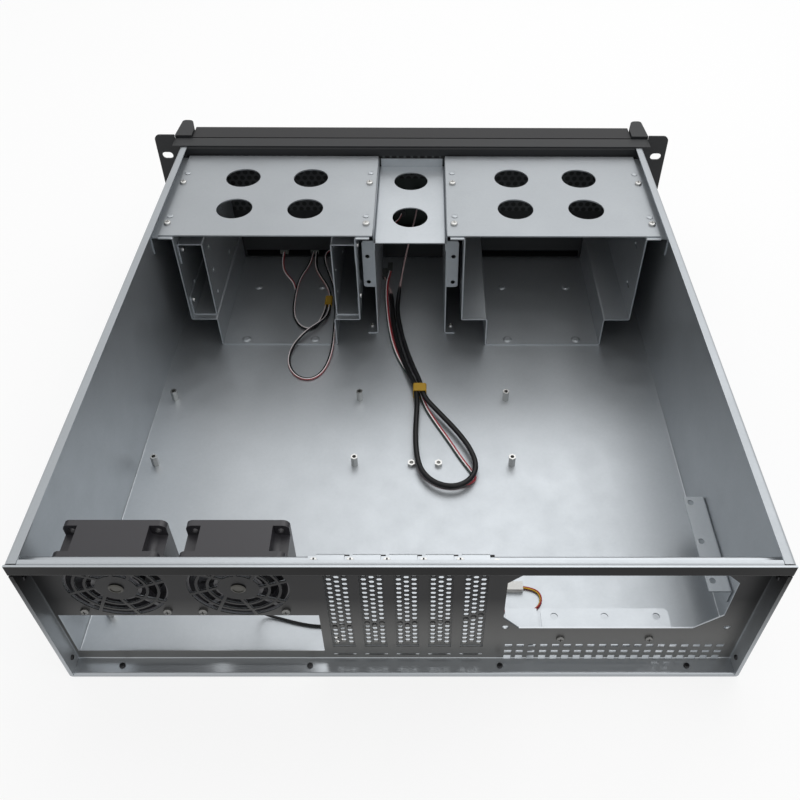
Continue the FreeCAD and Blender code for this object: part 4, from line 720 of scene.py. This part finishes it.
def place_copy(model, name, place, across, facing, finish, slot="screw_steel"):
    """A copy with its own mesh, across wide in millimetres, its foot at place and its top facing a way."""
    piece = model.copy()
    piece.data = model.data.copy()
    piece.name = name
    bpy.context.scene.collection.objects.link(piece)
    turn = Vector(facing).to_track_quat("Z", "Y").to_matrix().to_4x4()
    spot = Matrix.Translation([part * MM for part in place])
    piece.data.transform(spot @ turn @ Matrix.Scale(across * MM, 4))
    piece.data.materials.clear()
    piece.data.materials.append(finish)
    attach(piece, "case")


def fan_middle(fan):
    """Middle of a fan's frame, in millimetres."""
    low, high = CASE_BOX[f"rear_fan_{fan}_frame"]
    return (low + high) / 2 / MM


def add_screws():
    """Screws of the plates, partitions, channels, fans, supply bracket and rear wall."""
    bright = plain("screw_steel", (0.46, 0.46, 0.45), 0.24, 1.0)
    dull = plain("dull_screw_steel", (0.17, 0.17, 0.165), 0.32, 1.0)
    dark = plain("dark_screw_steel", (0.04, 0.04, 0.042), 0.34, 1.0)
    head = pan_head()
    panel_y = PANEL_OUT / MM
    screws = []
    for side in (1, -1):
        for x in PLATE_SCREW_X:
            for y in PLATE_SCREW_Y:
                screws.append(("plate_screw", (side * x, y, PLATE_TOP / MM), 6.0, UP, bright))
        x, y, z = FOOT_SCREW
        screws.append(("foot_screw", (side * x, y, z), 4.6, UP, bright))
        for z in RIM_SCREW_Z:
            screws.append(("rim_screw", (side * RIM_SCREW_X, RIM_SCREW_Y, z), 3.4, (-side, 0, 0), dark))
    for place in CHANNEL_SCREWS:
        screws.append(("channel_screw", place, 4.4, (-1, 0, 0), bright))
    for x in FLANGE_SCREW_X:
        screws.append(("lip_screw", (x, FLANGE_SCREW_Y, FLANGE_TOP), 3.8, UP, dark))
    for x in SHELF_SCREW_X:
        screws.append(("shelf_screw", (x, panel_y, SHELF_SCREW_Z), 5.2, REARWARD, dull))
    for fan in ("outer", "inner"):
        middle = fan_middle(fan)
        for dx, dz in FAN_SCREWS:
            screws.append((f"{fan}_fan_screw", (middle.x + dx, panel_y, middle.z + dz), 5.4, REARWARD, dull))
    for index, (name, *details) in enumerate(screws):
        place_copy(head, f"{name}_{index + 1}", *details)
    bpy.data.objects.remove(head)


def add_discs():
    """Pressed bosses that locate the cage plates, and the plain discs in the middle of the fan grilles."""
    zinc = NODES["chassis_tray"].data.materials[0]
    pale = plain("disc_metal", (0.065, 0.063, 0.056), 0.4, 0.7)
    disc = pressed_disc()
    for hand, side in (("right", 1), ("left", -1)):
        for x, y in PLATE_BOSSES:
            place_copy(disc, f"plate_boss_{hand}_{x:.0f}_{-y:.0f}", (side * x, y, PLATE_TOP / MM),
                       BOSS_ACROSS, UP, zinc, "galvanised_steel")
    for fan in ("outer", "inner"):
        middle = fan_middle(fan)
        place_copy(disc, f"{fan}_grille_disc", (middle.x, PANEL_OUT / MM, middle.z), GRILLE_DISC_ACROSS,
                   REARWARD, pale)
    bpy.data.objects.remove(disc)


add_camera()
add_backdrop()
for lamp in LAMPS:
    add_lamp(*lamp)
dress_case()
add_wiring()
add_screws()
add_discs()
bpy.context.scene.view_settings.view_transform = "Standard"
